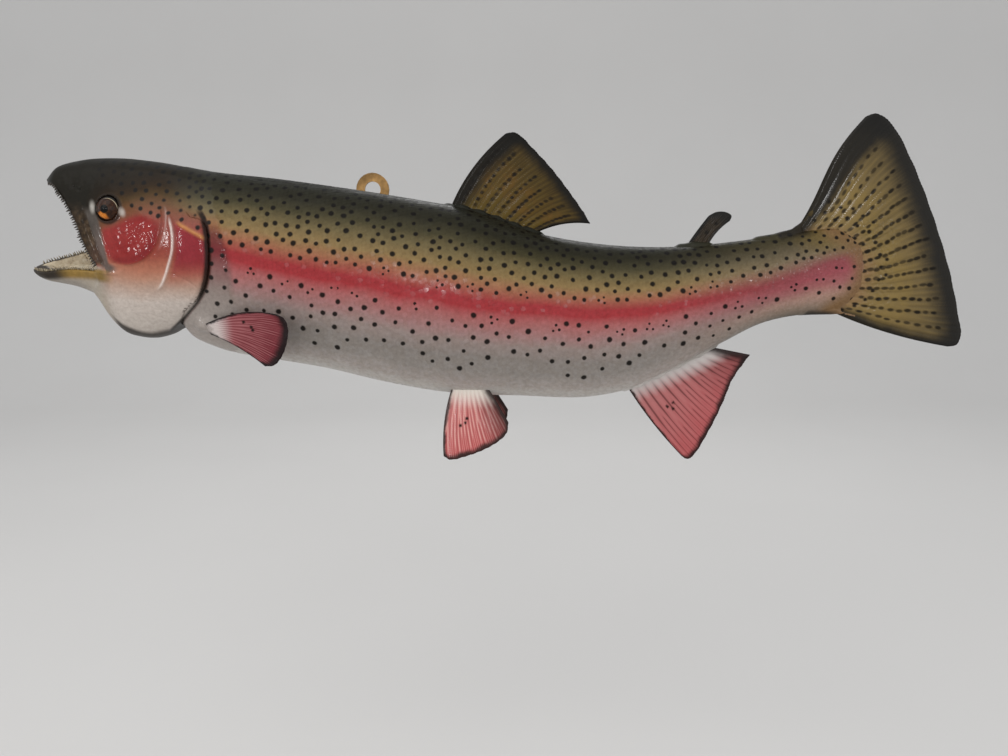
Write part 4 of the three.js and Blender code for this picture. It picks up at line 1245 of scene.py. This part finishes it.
def make_fin(name, node, slot, material, root, edge, bow, thick, rays, facing=(0, 1, 0), sway=0.0,
             dots=(), dashes=None, fray=0.3, wave=0.5, steps=52, ribs=0.14, rough=None):
    """A fan of branching rays with thin skin between them, from its root to its outer edge."""
    per_ray = 14
    nu = rays * per_ray
    u = np.linspace(0, 1, nu + 1)[:, None]
    v = np.linspace(0, 1, steps + 1)[None, :] ** 0.92
    facing = unit(np.array(facing, float))
    start, end = curve_points(root, nu + 1), curve_points(edge, nu + 1)
    reach = end - start
    sideways = unit(np.cross(reach, facing))
    lift = lerp(bow[0], bow[1], u)
    bend = lift * 4 * v * (1 - v) - sway * (1 - u) * np.sin(2 * np.pi * v)
    phase = u * rays
    single, double, fine = (0.5 - 0.5 * np.cos(2 * np.pi * n * phase) for n in (1, 2, 4))
    # Each ray forks on the way out, the middle ones first.
    fork = 0.4 + 0.12 * np.sin(u * 37) + 0.25 * np.abs(u - 0.4)
    first = ease(v, fork, fork + 0.2)
    second = ease(v, fork + 0.3, fork + 0.5)
    ridge = lerp(lerp(single, double, first), fine * 0.9, second * 0.8)
    length = np.linalg.norm(reach, axis=1)[:, None]
    out = v * (1 - fray / length * (1.6 - ridge[:, -1:] + 0.5 * np.sin(u * 61)))
    centre = start[:, None] + reach[:, None] * out[..., None] + sideways[:, None] * bend[..., None]
    # The rays curl a little and the skin sags between them.
    ripple = wave * np.sin(u * 7 + v * 2.2) * v + ribs * (ridge - 0.5) * ease(v, 0, 0.15)
    if rough:
        x0, x1, z0, z1, height = rough
        x, z = centre[..., 0], centre[..., 2]
        place = window(x, x0 - 6, x0, x1, x1 + 14) * window(z, z0 - 6, z0, z1, z1 + 8)
        ripple = ripple + height * place * lumps(x, z, 2.4)
    centre = centre + facing * ripple[..., None]
    half = lerp(thick[0], thick[1], np.sqrt(v)) / 2 * (0.74 + 0.26 * ridge**0.8) * 0.92
    rim = np.minimum(np.minimum(u, 1 - u) * 40, (1 - v) * 30 + 0.25 + 0 * u)
    half = half * np.sqrt(1 - (1 - np.clip(rim, 0.0, 1)) ** 2) + 0.06
    front, back = centre - facing * half[..., None], centre + facing * half[..., None]
    # The front and the back sheet, and a band round their border.
    index = np.arange(ridge.size).reshape(ridge.shape)
    a, b, c, d = index[:-1, :-1], index[1:, :-1], index[1:, 1:], index[:-1, 1:]
    one = np.stack([a, b, c, d], -1).reshape(-1, 4)
    size = ridge.size
    border = np.concatenate([index[:, 0], index[-1, 1:], index[-2::-1, -1], index[0, -2:0:-1]])
    after = np.roll(border, -1)
    band = np.stack([border, after, after + size, border + size], 1)
    faces = [one[:, ::-1], one + size, band]
    points = np.concatenate([front.reshape(-1, 3), back.reshape(-1, 3)])
    # All faces point outwards.
    a, b, c = points[faces[1][:, :3].T]
    if np.sum(np.cross(b - a, c - a) @ facing) < 0:
        faces = [f[:, ::-1] for f in faces]
    ob = mesh_object(name, points, faces)
    wide = np.linalg.norm(np.diff(centre, axis=0), axis=2).sum(0)[None, :] + 0 * u
    long = length + 0 * v
    marks = np.zeros(ridge.shape)
    if dashes:
        marks = row_spots(u + 0 * v, v + 0 * u, long, wide, **dashes)
    for x, z, r in dots:
        d = np.hypot(centre[..., 0] - x, centre[..., 2] - z)
        marks = np.maximum(marks, ease(d, r + 0.4, r - 0.35))

    def twice(q):
        return np.tile((q + 0 * ridge).ravel(), 2)

    give(ob, "fin", twice(u), twice(v), twice(ridge))
    give(ob, "fin_marks", twice(marks), twice(v * long), twice((1 - v) * long))
    give(ob, "fin_sides", twice(u * wide), twice((1 - u) * wide), twice(phase))
    finish_piece(ob, material, slot, node)


def fin_finish(name, base, tip, ray, membrane, dark, front=(5, 8), outer=4.0, rear=2.0, root=None,
               root_width=3.0, root_soft=3.0, shade=0.5, glow=None, fade=0.0, lines=0.35, shine=0.18):
    """Fin skin: colour from its root to its tip, rays, dark margins and a paler root."""
    m = Finish(name)
    u, v, ridge = m.attr("fin")
    marks, from_root, to_edge = m.attr("fin_marks")
    from_front, from_rear, _ = m.attr("fin_sides")
    mottle = m.noise(70, 3, 0.6)
    colour = m.mix(m.plus(v, m.times(m.less(mottle, 0.5), 0.5), True), base, tip)
    if glow:
        centre = m.times(m.remap(v, 0.15, 0.4), m.remap(v, 0.8, 0.5))
        colour = m.layers(colour, (centre, m.remap(mottle, 0.4, 0.62, 0.1, 0.5), glow))
    colour = m.layers(
        colour,
        (m.remap(ridge, 0.45, 0.95), lines, ray),
        (m.remap(ridge, 0.24, 0.0), shade, membrane),
        (m.remap(u, 0.45, 1.0), fade, dark),
    )
    if root:
        ragged = m.plus(from_root, m.times(m.less(ridge, 0.5), -2.4))
        colour = m.mix(m.remap(ragged, root_width + root_soft, root_width * 0.5), colour, root)
    rough_edge = m.times(m.less(m.noise(110, 3, 0.6), 0.5), 5.0)
    # The dark front margin widens on the way out.
    grown = m.less(from_front, m.times(v, front[1] - front[0]))
    for distance, width in ((to_edge, outer), (grown, front[0]), (from_rear, rear)):
        margin = m.remap(m.plus(distance, rough_edge), width * 2.1, width * 0.4)
        colour = m.layers(colour, (margin, 0.96, dark))
    colour = m.layers(colour, (marks, 0.97, "#0f0b07"))
    joints = m.times(m.math("SINE", m.times(from_root, 4.0)), ridge)
    normal = m.bump(joints, 0.1, 0.0002)
    normal = m.bump(m.noise(800, 2, 0.6), 0.15, 0.00015, normal)
    rough = m.remap(mottle, 0.3, 0.7, 0.3, 0.45)
    m.set(Base_Color=colour, Roughness=rough, Normal=normal, Specular_IOR_Level=0.1)
    m.varnish(m.times(m.less(1.0, m.times(marks, 0.9)), shine), 0.12, normal)
    return m.mat


def make_fins():
    olive = fin_finish("olive_fin", "#534213", "#35280e", "#594619", "#2b200b", "#0c0a07",
                       front=(6.5, 15), outer=4.8, rear=2.8, glow="#654419", shade=0.35, lines=0.25,
                       shine=0.08)
    tail = fin_finish("olive_tail", "#7c673e", "#463b25", "#7f6a3c", "#4a3d1e", "#100e0b",
                      front=(5, 21), outer=9.0, rear=5.5, glow="#7e6836", root="#7b5f40", root_width=5.0,
                      root_soft=12.0, shade=0.25, lines=0.2)
    fatty = fin_finish("olive_adipose", "#2c2113", "#1c150c", "#302412", "#241b0d", "#0d0b08",
                       front=(1.8, 3.5), outer=5.0, rear=2.2)
    salmon = fin_finish("salmon_fin", "#a26a68", "#a04c4d", "#b06e6c", "#5a2c2c", "#1d1110",
                        front=(1.4, 2.6), outer=2.6, rear=4.6, root="#b8b1ad", root_width=13.5,
                        root_soft=8.0, shade=0.8, fade=0.4)
    pelvic = fin_finish("pelvic_fin", "#bd7772", "#a54a4a", "#d3a69d", "#7a3b38", "#241613",
                        front=(1.2, 2.4), outer=2.6, rear=3.4, root="#cfc6bc", root_width=17.0,
                        root_soft=9.0, shade=0.5, fade=0.8, lines=0.6)
    dusky = fin_finish("dusky_fin", "#88494c", "#5c131e", "#9d6767", "#431418", "#0e0808",
                       front=(1.2, 2.0), outer=4.0, rear=1.5, root="#bdb2ae", root_width=8.0,
                       root_soft=14.0, shade=0.45, lines=0.5)
    at = on_mid
    make_fin(
        "dorsal_fin_rays", "dorsal_fin", "olive_fin", olive,
        [at(60, -26), at(80, -33), at(101, -39.5), at(121, -41.5)],
        [at(101, 27.6), at(106, 28.2), at(111, 26), at(118, 19), at(133, 3), at(147, -15), at(157, -29.5),
         at(160, -35)],
        (4.5, 3), (3.4, 1.1), 12, ribs=0.06,
        dashes=dict(rows=[0.1, 0.22, 0.35, 0.48, 0.6, 0.71, 0.82, 0.93], start=0.12, stop=0.8,
                    pitch=4.2, length=3.2, girth=2.7, lean=-0.03),
    )
    make_fin(
        "adipose_fin_skin", "adipose_fin", "olive_fin", fatty,
        [at(223, -56), at(231, -57), at(238, -56)],
        [at(240, -31), at(245, -28.6), at(251, -29), at(254.5, -31.5), at(253.5, -35)],
        (0.5, 2.2), (4.4, 2.4), 5, fray=0.0, wave=0.2, steps=30, ribs=0.03,
        dots=[(238.5, -42.5, 1.4), (244.5, -36.5, 1.3)],
    )
    make_fin(
        "caudal_fin_rays", "caudal_fin", "olive_fin", tail,
        [at(290, -50), at(318, -51), at(330, -69), at(324, -87), at(311, -92.5)],
        [at(331.5, 29), at(336.5, 30.6), at(341.5, 28), at(348, 20.5), at(358, 0.5), at(371, -31.5),
         at(384, -70), at(391.3, -101), at(392.9, -111), at(391, -117), at(386, -118.3)],
        (2.0, -3.2), (4, 1.2), 20, sway=2.0, steps=96, ribs=0.12, rough=(333, 345, -92, -40, 0.4),
        dots=[
            (305, -36, 1.2), (311, -31, 1.2), (317, -36, 1.3), (313, -24, 1.1), (320, -28, 1.2),
            (324, -35, 1.3), (330, -40, 1.2), (327, -29, 1.1), (333, -34, 1.2), (337, -44, 1.3),
            (341, -51, 1.2), (344, -59, 1.3), (345, -67, 1.2), (344, -75, 1.2), (341, -82, 1.3),
            (337, -88, 1.1), (331, -92, 1.2), (324, -95, 1.1), (339, -38, 1.1), (348, -62, 1.1),
            (348, -72, 1.1), (329, -48, 1.2), (334, -52, 1.2),
        ],
        dashes=dict(rows=[round(0.13 + 0.06 * i, 2) for i in range(14)], start=0.1, stop=0.84,
                    pitch=5.0, length=4.2, girth=2.3),
    )
    make_fin(
        "anal_fin_rays", "anal_fin", "pink_fin", salmon,
        [at(184, -146), at(203, -137.5), at(224, -129), at(243, -121.5)],
        [at(226.8, -202), at(230, -204), at(234, -202), at(245, -181.5), at(254, -160), at(259.5, -144.5),
         at(270, -126.8)],
        (-2, 0), (3.4, 1.1), 12, ribs=0.16,
        dots=[(219.4, -162.2, 1.1), (215.5, -165.2, 1.1), (219.5, -166.7, 1.1)],
    )
    for s, name, splay in ((-1, "left", 24), (1, "right", 21)):
        make_fin(
            "pelvic_fin_rays_" + name, "pelvic_fin_" + name, "pink_fin", pelvic,
            [at(64, -141, s * 11), at(72, -142, s * 12), at(82, -143, s * 12)],
            [at(54.5, -197.5, s * splay), at(59.5, -200, s * splay), at(70, -197.8, s * splay),
             at(82, -193.3, s * (splay + 1)), at(93, -187, s * (splay + 2)),
             at(99.6, -180.5, s * (splay + 2)), at(101, -173, s * (splay + 1))],
            (-3.5, 0.5), (4, 1.1), 10, facing=(0.08, 1, 0.22 * s),
            dots=[(71.5, -171.1, 1.2), (70.3, -174.0, 1.0), (66.8, -176.1, 1.1)] if s < 0 else [],
        )
    for s, name, splay in ((-1, "left", 51), (1, "right", 36)):
        make_fin(
            "pectoral_fin_rays_" + name, "pectoral_fin_" + name, "pink_fin", dusky,
            [at(-104, -101, s * 27), at(-103, -105, s * 26), at(-102, -109, s * 24)],
            [at(-49, -94, s * splay), at(-44.5, -97, s * (splay + 1)), at(-42.3, -104, s * (splay + 1)),
             at(-44.5, -115, s * (splay + 1)), at(-49, -123, s * splay), at(-54, -127.7, s * (splay - 1)),
             at(-60, -128.4, s * (splay - 3))],
            (4.5, 1.5), (4, 1.2), 13, facing=(0.4 if splay > 40 else 0.1, 1, 0.1 * s),
            dots=[(-75.4, -99.6, 1.1), (-69.7, -102.8, 1.1), (-68.5, -104.8, 1.1)] if s < 0 else [],
        )


make_fins()


# ---------- eyes, teeth and tongue ----------
def ring_faces(rings, around):
    """Quads between rings of points, and the points' numbers, ring by ring."""
    index = np.arange(rings * around).reshape(rings, around)
    after = np.roll(index, -1, 1)
    return np.stack([index[:-1], index[1:], after[1:], after[:-1]], -1).reshape(-1, 4), index


def eye_finish():
    m = Finish("glass_eye")
    # r is the distance from the eye's axis; up and ahead say which way from it.
    r, up, ahead = m.attr("eye")
    streak = m.noise(900, 3, 0.6, m.stretch(1, 0.2, 1))
    # Painted light: an amber glow of light refracted through the glass on to the lower front of the iris,
    # and a pale glint on the upper rear of the eye's rim.
    low = m.plus(m.times(up, -0.9), m.times(ahead, 0.43))
    painted_glow = m.times(m.remap(low, 0.7, 0.96), m.times(m.remap(r, 6.9, 5.8), m.remap(r, 2.7, 3.7)))
    ring = m.times(m.remap(r, 2.3, 2.6), m.remap(r, 3.1, 2.8))
    painted_glint = m.times(m.remap(r, 6.75, 6.9), m.remap(r, 7.15, 7.0))
    high = m.remap(m.plus(m.times(up, 0.75), m.times(ahead, -0.6)), 0.5, 0.9)
    colour = m.layers(
        m.ramp(streak, (0.3, "#1a0c06"), (0.55, "#2f190c"), (0.75, "#4a2a13")),
        # The painted glow and the painted glint.
        (painted_glow, 0.95, m.ramp(m.noise(1300, 2, 0.6), (0.3, "#a8500f"), (0.7, "#e08f34"))),
        (ring, 0.3, "#5a3718"),
        (painted_glint, high, "#b3a58a"),
        (m.remap(r, 7.1, 7.5), 1.0, "#0c0908"),
        (m.remap(r, 2.85, 2.45), 1.0, "#030303"),
    )
    normal = m.bump(streak, 0.05, 0.0001)
    m.set(Base_Color=colour, Roughness=0.25, Normal=normal, Specular_IOR_Level=0.05)
    m.varnish(0.3, 0.02)
    return m.mat


def make_eyes():
    """Glass balls with a low swelling at the front."""
    finish = eye_finish()
    rings, around = 48, 72
    t = np.linspace(0, math.pi, rings + 1)[:, None]
    turn = np.linspace(0, 2 * math.pi, around, endpoint=False)[None, :]
    away = EYE_RADIUS * np.sin(t)
    out = EYE_RADIUS * np.cos(t) + 0.9 * np.exp(-((away / 4.6) ** 2)) * (np.cos(t) > 0) - 0.25
    front = np.cos(t) > -0.2
    for sign, name in ((-1, "left"), (1, "right")):
        cy = float(SWING(EYE_X)) + sign * EYE_SIDE
        x = EYE_X + away * np.cos(turn)
        z = EYE_Z + away * np.sin(turn)
        y = cy + sign * out + 0 * turn
        quads, _ = ring_faces(rings + 1, around)
        if sign > 0:
            quads = quads[:, ::-1]
        ob = mesh_object("eye_glass_" + name, np.stack([x, y, z], -1).reshape(-1, 3), [quads])
        r = np.where(front, away, EYE_RADIUS) + 0 * turn
        give(ob, "eye", r.ravel(), (np.sin(turn) + 0 * t).ravel(), (-np.cos(turn) + 0 * t).ravel())
        finish_piece(ob, finish, "eye", "eye_" + name)


def cones(name, feet, directions, heights, widths, material):
    """Small curved pegs, joined in one mesh."""
    sides, levels = 7, 4
    ring = 2 * math.pi * np.arange(sides)[:, None] / sides
    pts, faces = [], []
    for foot, direction, height, width in zip(feet, directions, heights, widths):
        w = unit(np.array(direction, float))
        side = unit(np.cross(w, (0.3, 1, 0.2)))
        around = np.cos(ring) * side + np.sin(ring) * np.cross(w, side)
        base = (levels * sides + 1) * len(faces)
        curl = rng.uniform(-0.25, 0.25)
        for f in np.arange(levels) / levels:
            centre = np.array(foot) + w * (height * (f * 1.15 - 0.3)) + side * curl * height * f * f
            pts.append(centre + width * (1 - f) ** 0.75 * around)
        pts.append([np.array(foot) + w * height * 0.85 + side * curl * height])
        quads, index = ring_faces(levels, sides)
        quads = quads[:, [0, 3, 2, 1]]
        tris = np.vstack([quads[:, :3], quads[:, [0, 2, 3]]])
        top, apex = index[-1], np.full(sides, levels * sides)
        tris = np.vstack([tris, np.stack([top, np.roll(top, -1), apex], 1)])
        tris = np.vstack([tris, [(0, k + 1, k) for k in range(1, sides - 1)]])
        faces.append(tris + base)
    ob = mesh_object(name, np.vstack(pts), [np.vstack(faces)])
    finish_piece(ob, material, "mouth")


def ivory_finish(name, dark, light):
    m = Finish(name)
    colour = m.ramp(m.noise(500, 2, 0.5), (0.3, dark), (0.7, light))
    m.set(Base_Color=colour, Roughness=0.35, Normal=m.bump(m.noise(2500, 2, 0.5), 0.1, 0.0001))
    m.set(Coat_Weight=0.15, Coat_Roughness=0.1)
    return m.mat


def gum_finish():
    m = Finish("mouth_lining")
    tone = m.noise(210, 4, 0.7)
    pits = m.cells(420)
    colour = m.ramp(tone, (0.3, "#7d6a4c"), (0.5, "#b3a283"), (0.7, "#cbbfa6"))
    colour = m.layers(colour, (m.remap(pits, 0.28, 0.12), 0.35, "#5f5038"))
    normal = m.bump(pits, 0.3, 0.0005, m.bump(tone, 0.5, 0.0008))
    m.set(Base_Color=colour, Roughness=0.4, Normal=normal, Coat_Weight=0.6, Coat_Roughness=0.15)
    return m.mat


def rolled(p):
    """A point of the level jaw, where the jaw's roll takes it."""
    x, y, z = p
    c, s = math.cos(JAW_ROLL), math.sin(JAW_ROLL)
    y, z = y - JAW_Y, z - JAW_Z
    return np.array([x, JAW_Y + y * c - z * s, JAW_Z + y * s + z * c])


def make_teeth():
    """Teeth along the gape, and along both sides of the lower jaw."""
    feet, ways, tall, wide = [], [], [], []
    gape = curve_points(GAPE[1:-2], 40)
    turn = np.gradient(gape, axis=0)
    for sign in (-1, 1):
        for (x, z), (dx, dz) in zip(gape, turn):
            x, z = x + rng.uniform(-0.2, 0.2), z + rng.uniform(-0.2, 0.2)
            near = max(0.0, 1 - (x - HEAD_START) / 16)
            half = float(HEAD_HALF(x)) * math.sqrt(max(0.0, 1 - near * near)) - rng.uniform(0.9, 1.5)
            feet.append((x + 0.2, float(SWING(x)) + sign * half, z))
            size = math.hypot(dx, dz)
            ways.append((dz / size + rng.uniform(-0.12, 0.12), 0.12 * sign, -dx / size - 0.15))
            tall.append(rng.uniform(1.9, 3.2))
            wide.append(rng.uniform(0.8, 1.05))
    cones("upper_teeth", feet, ways, tall, wide, ivory_finish("worn_teeth", "#120d08", "#35291c"))
    feet, ways, tall, wide = [], [], [], []
    for sign in (-1, 1):
        for x in np.linspace(-228, -180, 34):
            x = float(x) + rng.uniform(-0.3, 0.3)
            near = max(0.0, 1 - (x - JAW_START) / JAW_ROUND)
            half = float(JAW_HALF(x)) * math.sqrt(max(0.0, 1 - near * near)) - 1.9
            feet.append(rolled((x, float(SWING(x)) + sign * half, float(JAW_LIP(x)) - 0.5)))
            lean = rolled((x - 0.12, float(SWING(x)), JAW_Z + 1)) - rolled((x, float(SWING(x)), JAW_Z))
            ways.append(lean + rng.uniform(-0.25, 0.25, 3))
            tall.append(rng.uniform(1.5, 2.6))
            wide.append(rng.uniform(0.55, 0.75))
    cones("lower_teeth", feet, ways, tall, wide, ivory_finish("ivory_teeth", "#4c3f2b", "#a3957a"))


def make_tongue():
    """A flat tongue with a groove along it."""
    back = line([(-214, -63), (-200, -61.5), (-182, -63), (-170, -65)])
    half = line([(-214, 7), (-200, 8), (-182, 9), (-170, 10)])
    pts = []
    n, around = 40, 36
    for i in range(n + 1):
        x = -216 + 46 * i / n
        d = max(0.0, 1 - (x + 216) / 10)
        s = math.sqrt(max(0.0, 1 - d * d)) + 0.01
        for k in range(around):
            a = 2 * math.pi * k / around
            y = float(SWING(x)) + half(x) * s * math.sin(a)
            c = math.cos(a)
            z = -65.5 + ((float(back(x)) + 65.5) if c > 0 else 2.0) * s * c
            z += 0.25 * math.sin(x * 0.9) * max(0, c) - 0.5 * math.exp(-((math.sin(a) * 6) ** 2)) * max(0, c)
            pts.append(rolled((x, y, z)))
    quads, index = ring_faces(n + 1, around)
    ob = mesh_object("tongue_skin", np.array(pts), [quads, index[:1], index[-1:, ::-1]])
    finish_piece(ob, gum_finish(), "mouth", "tongue")


make_eyes()
make_teeth()
make_tongue()


# ---------- hanger ----------
def brass_finish():
    m = Finish("brushed_brass")
    age = m.noise(60, 4, 0.65)
    colour = m.ramp(age, (0.3, "#56401f"), (0.55, "#7a5c33"), (0.8, "#9a7a48"))
    normal = m.bump(m.noise(900, 3, 0.6, m.stretch(1, 1, 0.06)), 0.2, 0.0002)
    rough = m.remap(age, 0.3, 0.7, 0.5, 0.32)
    m.set(Base_Color=colour, Metallic=0.7, Roughness=rough, Normal=normal)
    return m.mat


def wood_finish():
    m = Finish("pine_block")
    grain = m.noise(260, 4, 0.6, m.stretch(0.08, 1, 1), 0.6)
    rings = m.noise(60, 3, 0.5, m.stretch(0.1, 1, 1), 1.2)
    tone = m.plus(m.times(grain, 0.5), m.times(rings, 0.5))
    colour = m.ramp(tone, (0.35, "#8e6a42"), (0.5, "#b48d5f"), (0.65, "#c9a577"))
    m.set(Base_Color=colour, Roughness=0.62, Normal=m.bump(grain, 0.35, 0.0004))
    return m.mat


def steel_finish():
    m = Finish("screw_steel")
    age = m.noise(400, 3, 0.6)
    m.set(Base_Color=m.ramp(age, (0.3, "#8d8b86"), (0.7, "#b7b4ae")), Metallic=1.0)
    m.set(Roughness=m.remap(age, 0.3, 0.7, 0.3, 0.5), Normal=m.bump(age, 0.15, 0.0001))
    return m.mat


def dress(node, material):
    """Gives a part of the frame its material."""
    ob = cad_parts[node]
    ob.data.materials.clear()
    ob.data.materials.append(material)


BRASS, STEEL = brass_finish(), steel_finish()
dress("hanger_ring", BRASS)
dress("mount_block", wood_finish())
dress("screw_upper", STEEL)
dress("screw_lower", STEEL)


# ---------- stage ----------
def stage():
    """Grey paper that sweeps up behind the fish."""
    m = Finish("stage_paper")
    m.set(Base_Color=m.mix(m.noise(3, 2, 0.5), "#c4c2c0", "#c8c6c4"), Roughness=0.9)
    back, floor, reach, width = 2.6, -0.46, 2.4, 4.0
    profile = [(-reach, floor)]
    for i in range(25):
        a = math.pi / 2 * i / 24
        profile.append((back - 1.2 + 1.2 * math.sin(a), floor + 1.2 - 1.2 * math.cos(a)))
    profile.append((back, 3.2))
    pts = [(x * 1000, y * 1000, z * 1000) for x in (-width, width) for y, z in profile]
    n = len(profile)
    faces = [(i, i + n, i + n + 1, i + 1) for i in range(n - 1)]
    ob = mesh_object("stage_sweep", np.array(pts), [np.array(faces)])
    ob.data.materials.append(m.mat)


def lamp(name, place, target, size, power, colour=(1, 1, 1)):
    """A round lamp that shines from its place at a target."""
    data = bpy.data.lights.new(name, "AREA")
    data.shape, data.size, data.energy, data.color = "DISK", size, power, colour
    ob = bpy.data.objects.new(name, data)
    bpy.context.scene.collection.objects.link(ob)
    ob.location = place
    aim = Vector(target) - Vector(place)
    ob.rotation_euler = aim.to_track_quat("-Z", "Y").to_euler()


MIDDLE = (0.05, -0.04, -0.08)  # of the fish, in metres


def light():
    """A soft room, a large key, a fill, small glints and a lamp from behind."""
    world = bpy.data.worlds.new("soft_room")
    world.use_nodes = True
    room = world.node_tree.nodes["Background"].inputs
    room["Color"].default_value, room["Strength"].default_value = (0.86, 0.88, 0.9, 1), 0.95
    bpy.context.scene.world = world
    lamp("key", (-0.5, -1.2, 1.5), MIDDLE, 2.2, 14, (1, 0.98, 0.95))
    lamp("fill", (0.9, -1.6, 0.2), MIDDLE, 1.6, 5, (0.96, 0.98, 1))
    lamp("glint", (-0.1, -1.3, 0.12), MIDDLE, 0.1, 1.6)
    lamp("glint_left", (-0.75, -0.9, 0.12), (-0.1, -0.04, -0.08), 0.1, 1.3)
    lamp("back", (0.2, 1.3, 1.1), MIDDLE, 0.9, 6)


stage()
light()
bpy.context.scene.view_settings.view_transform = "Standard"
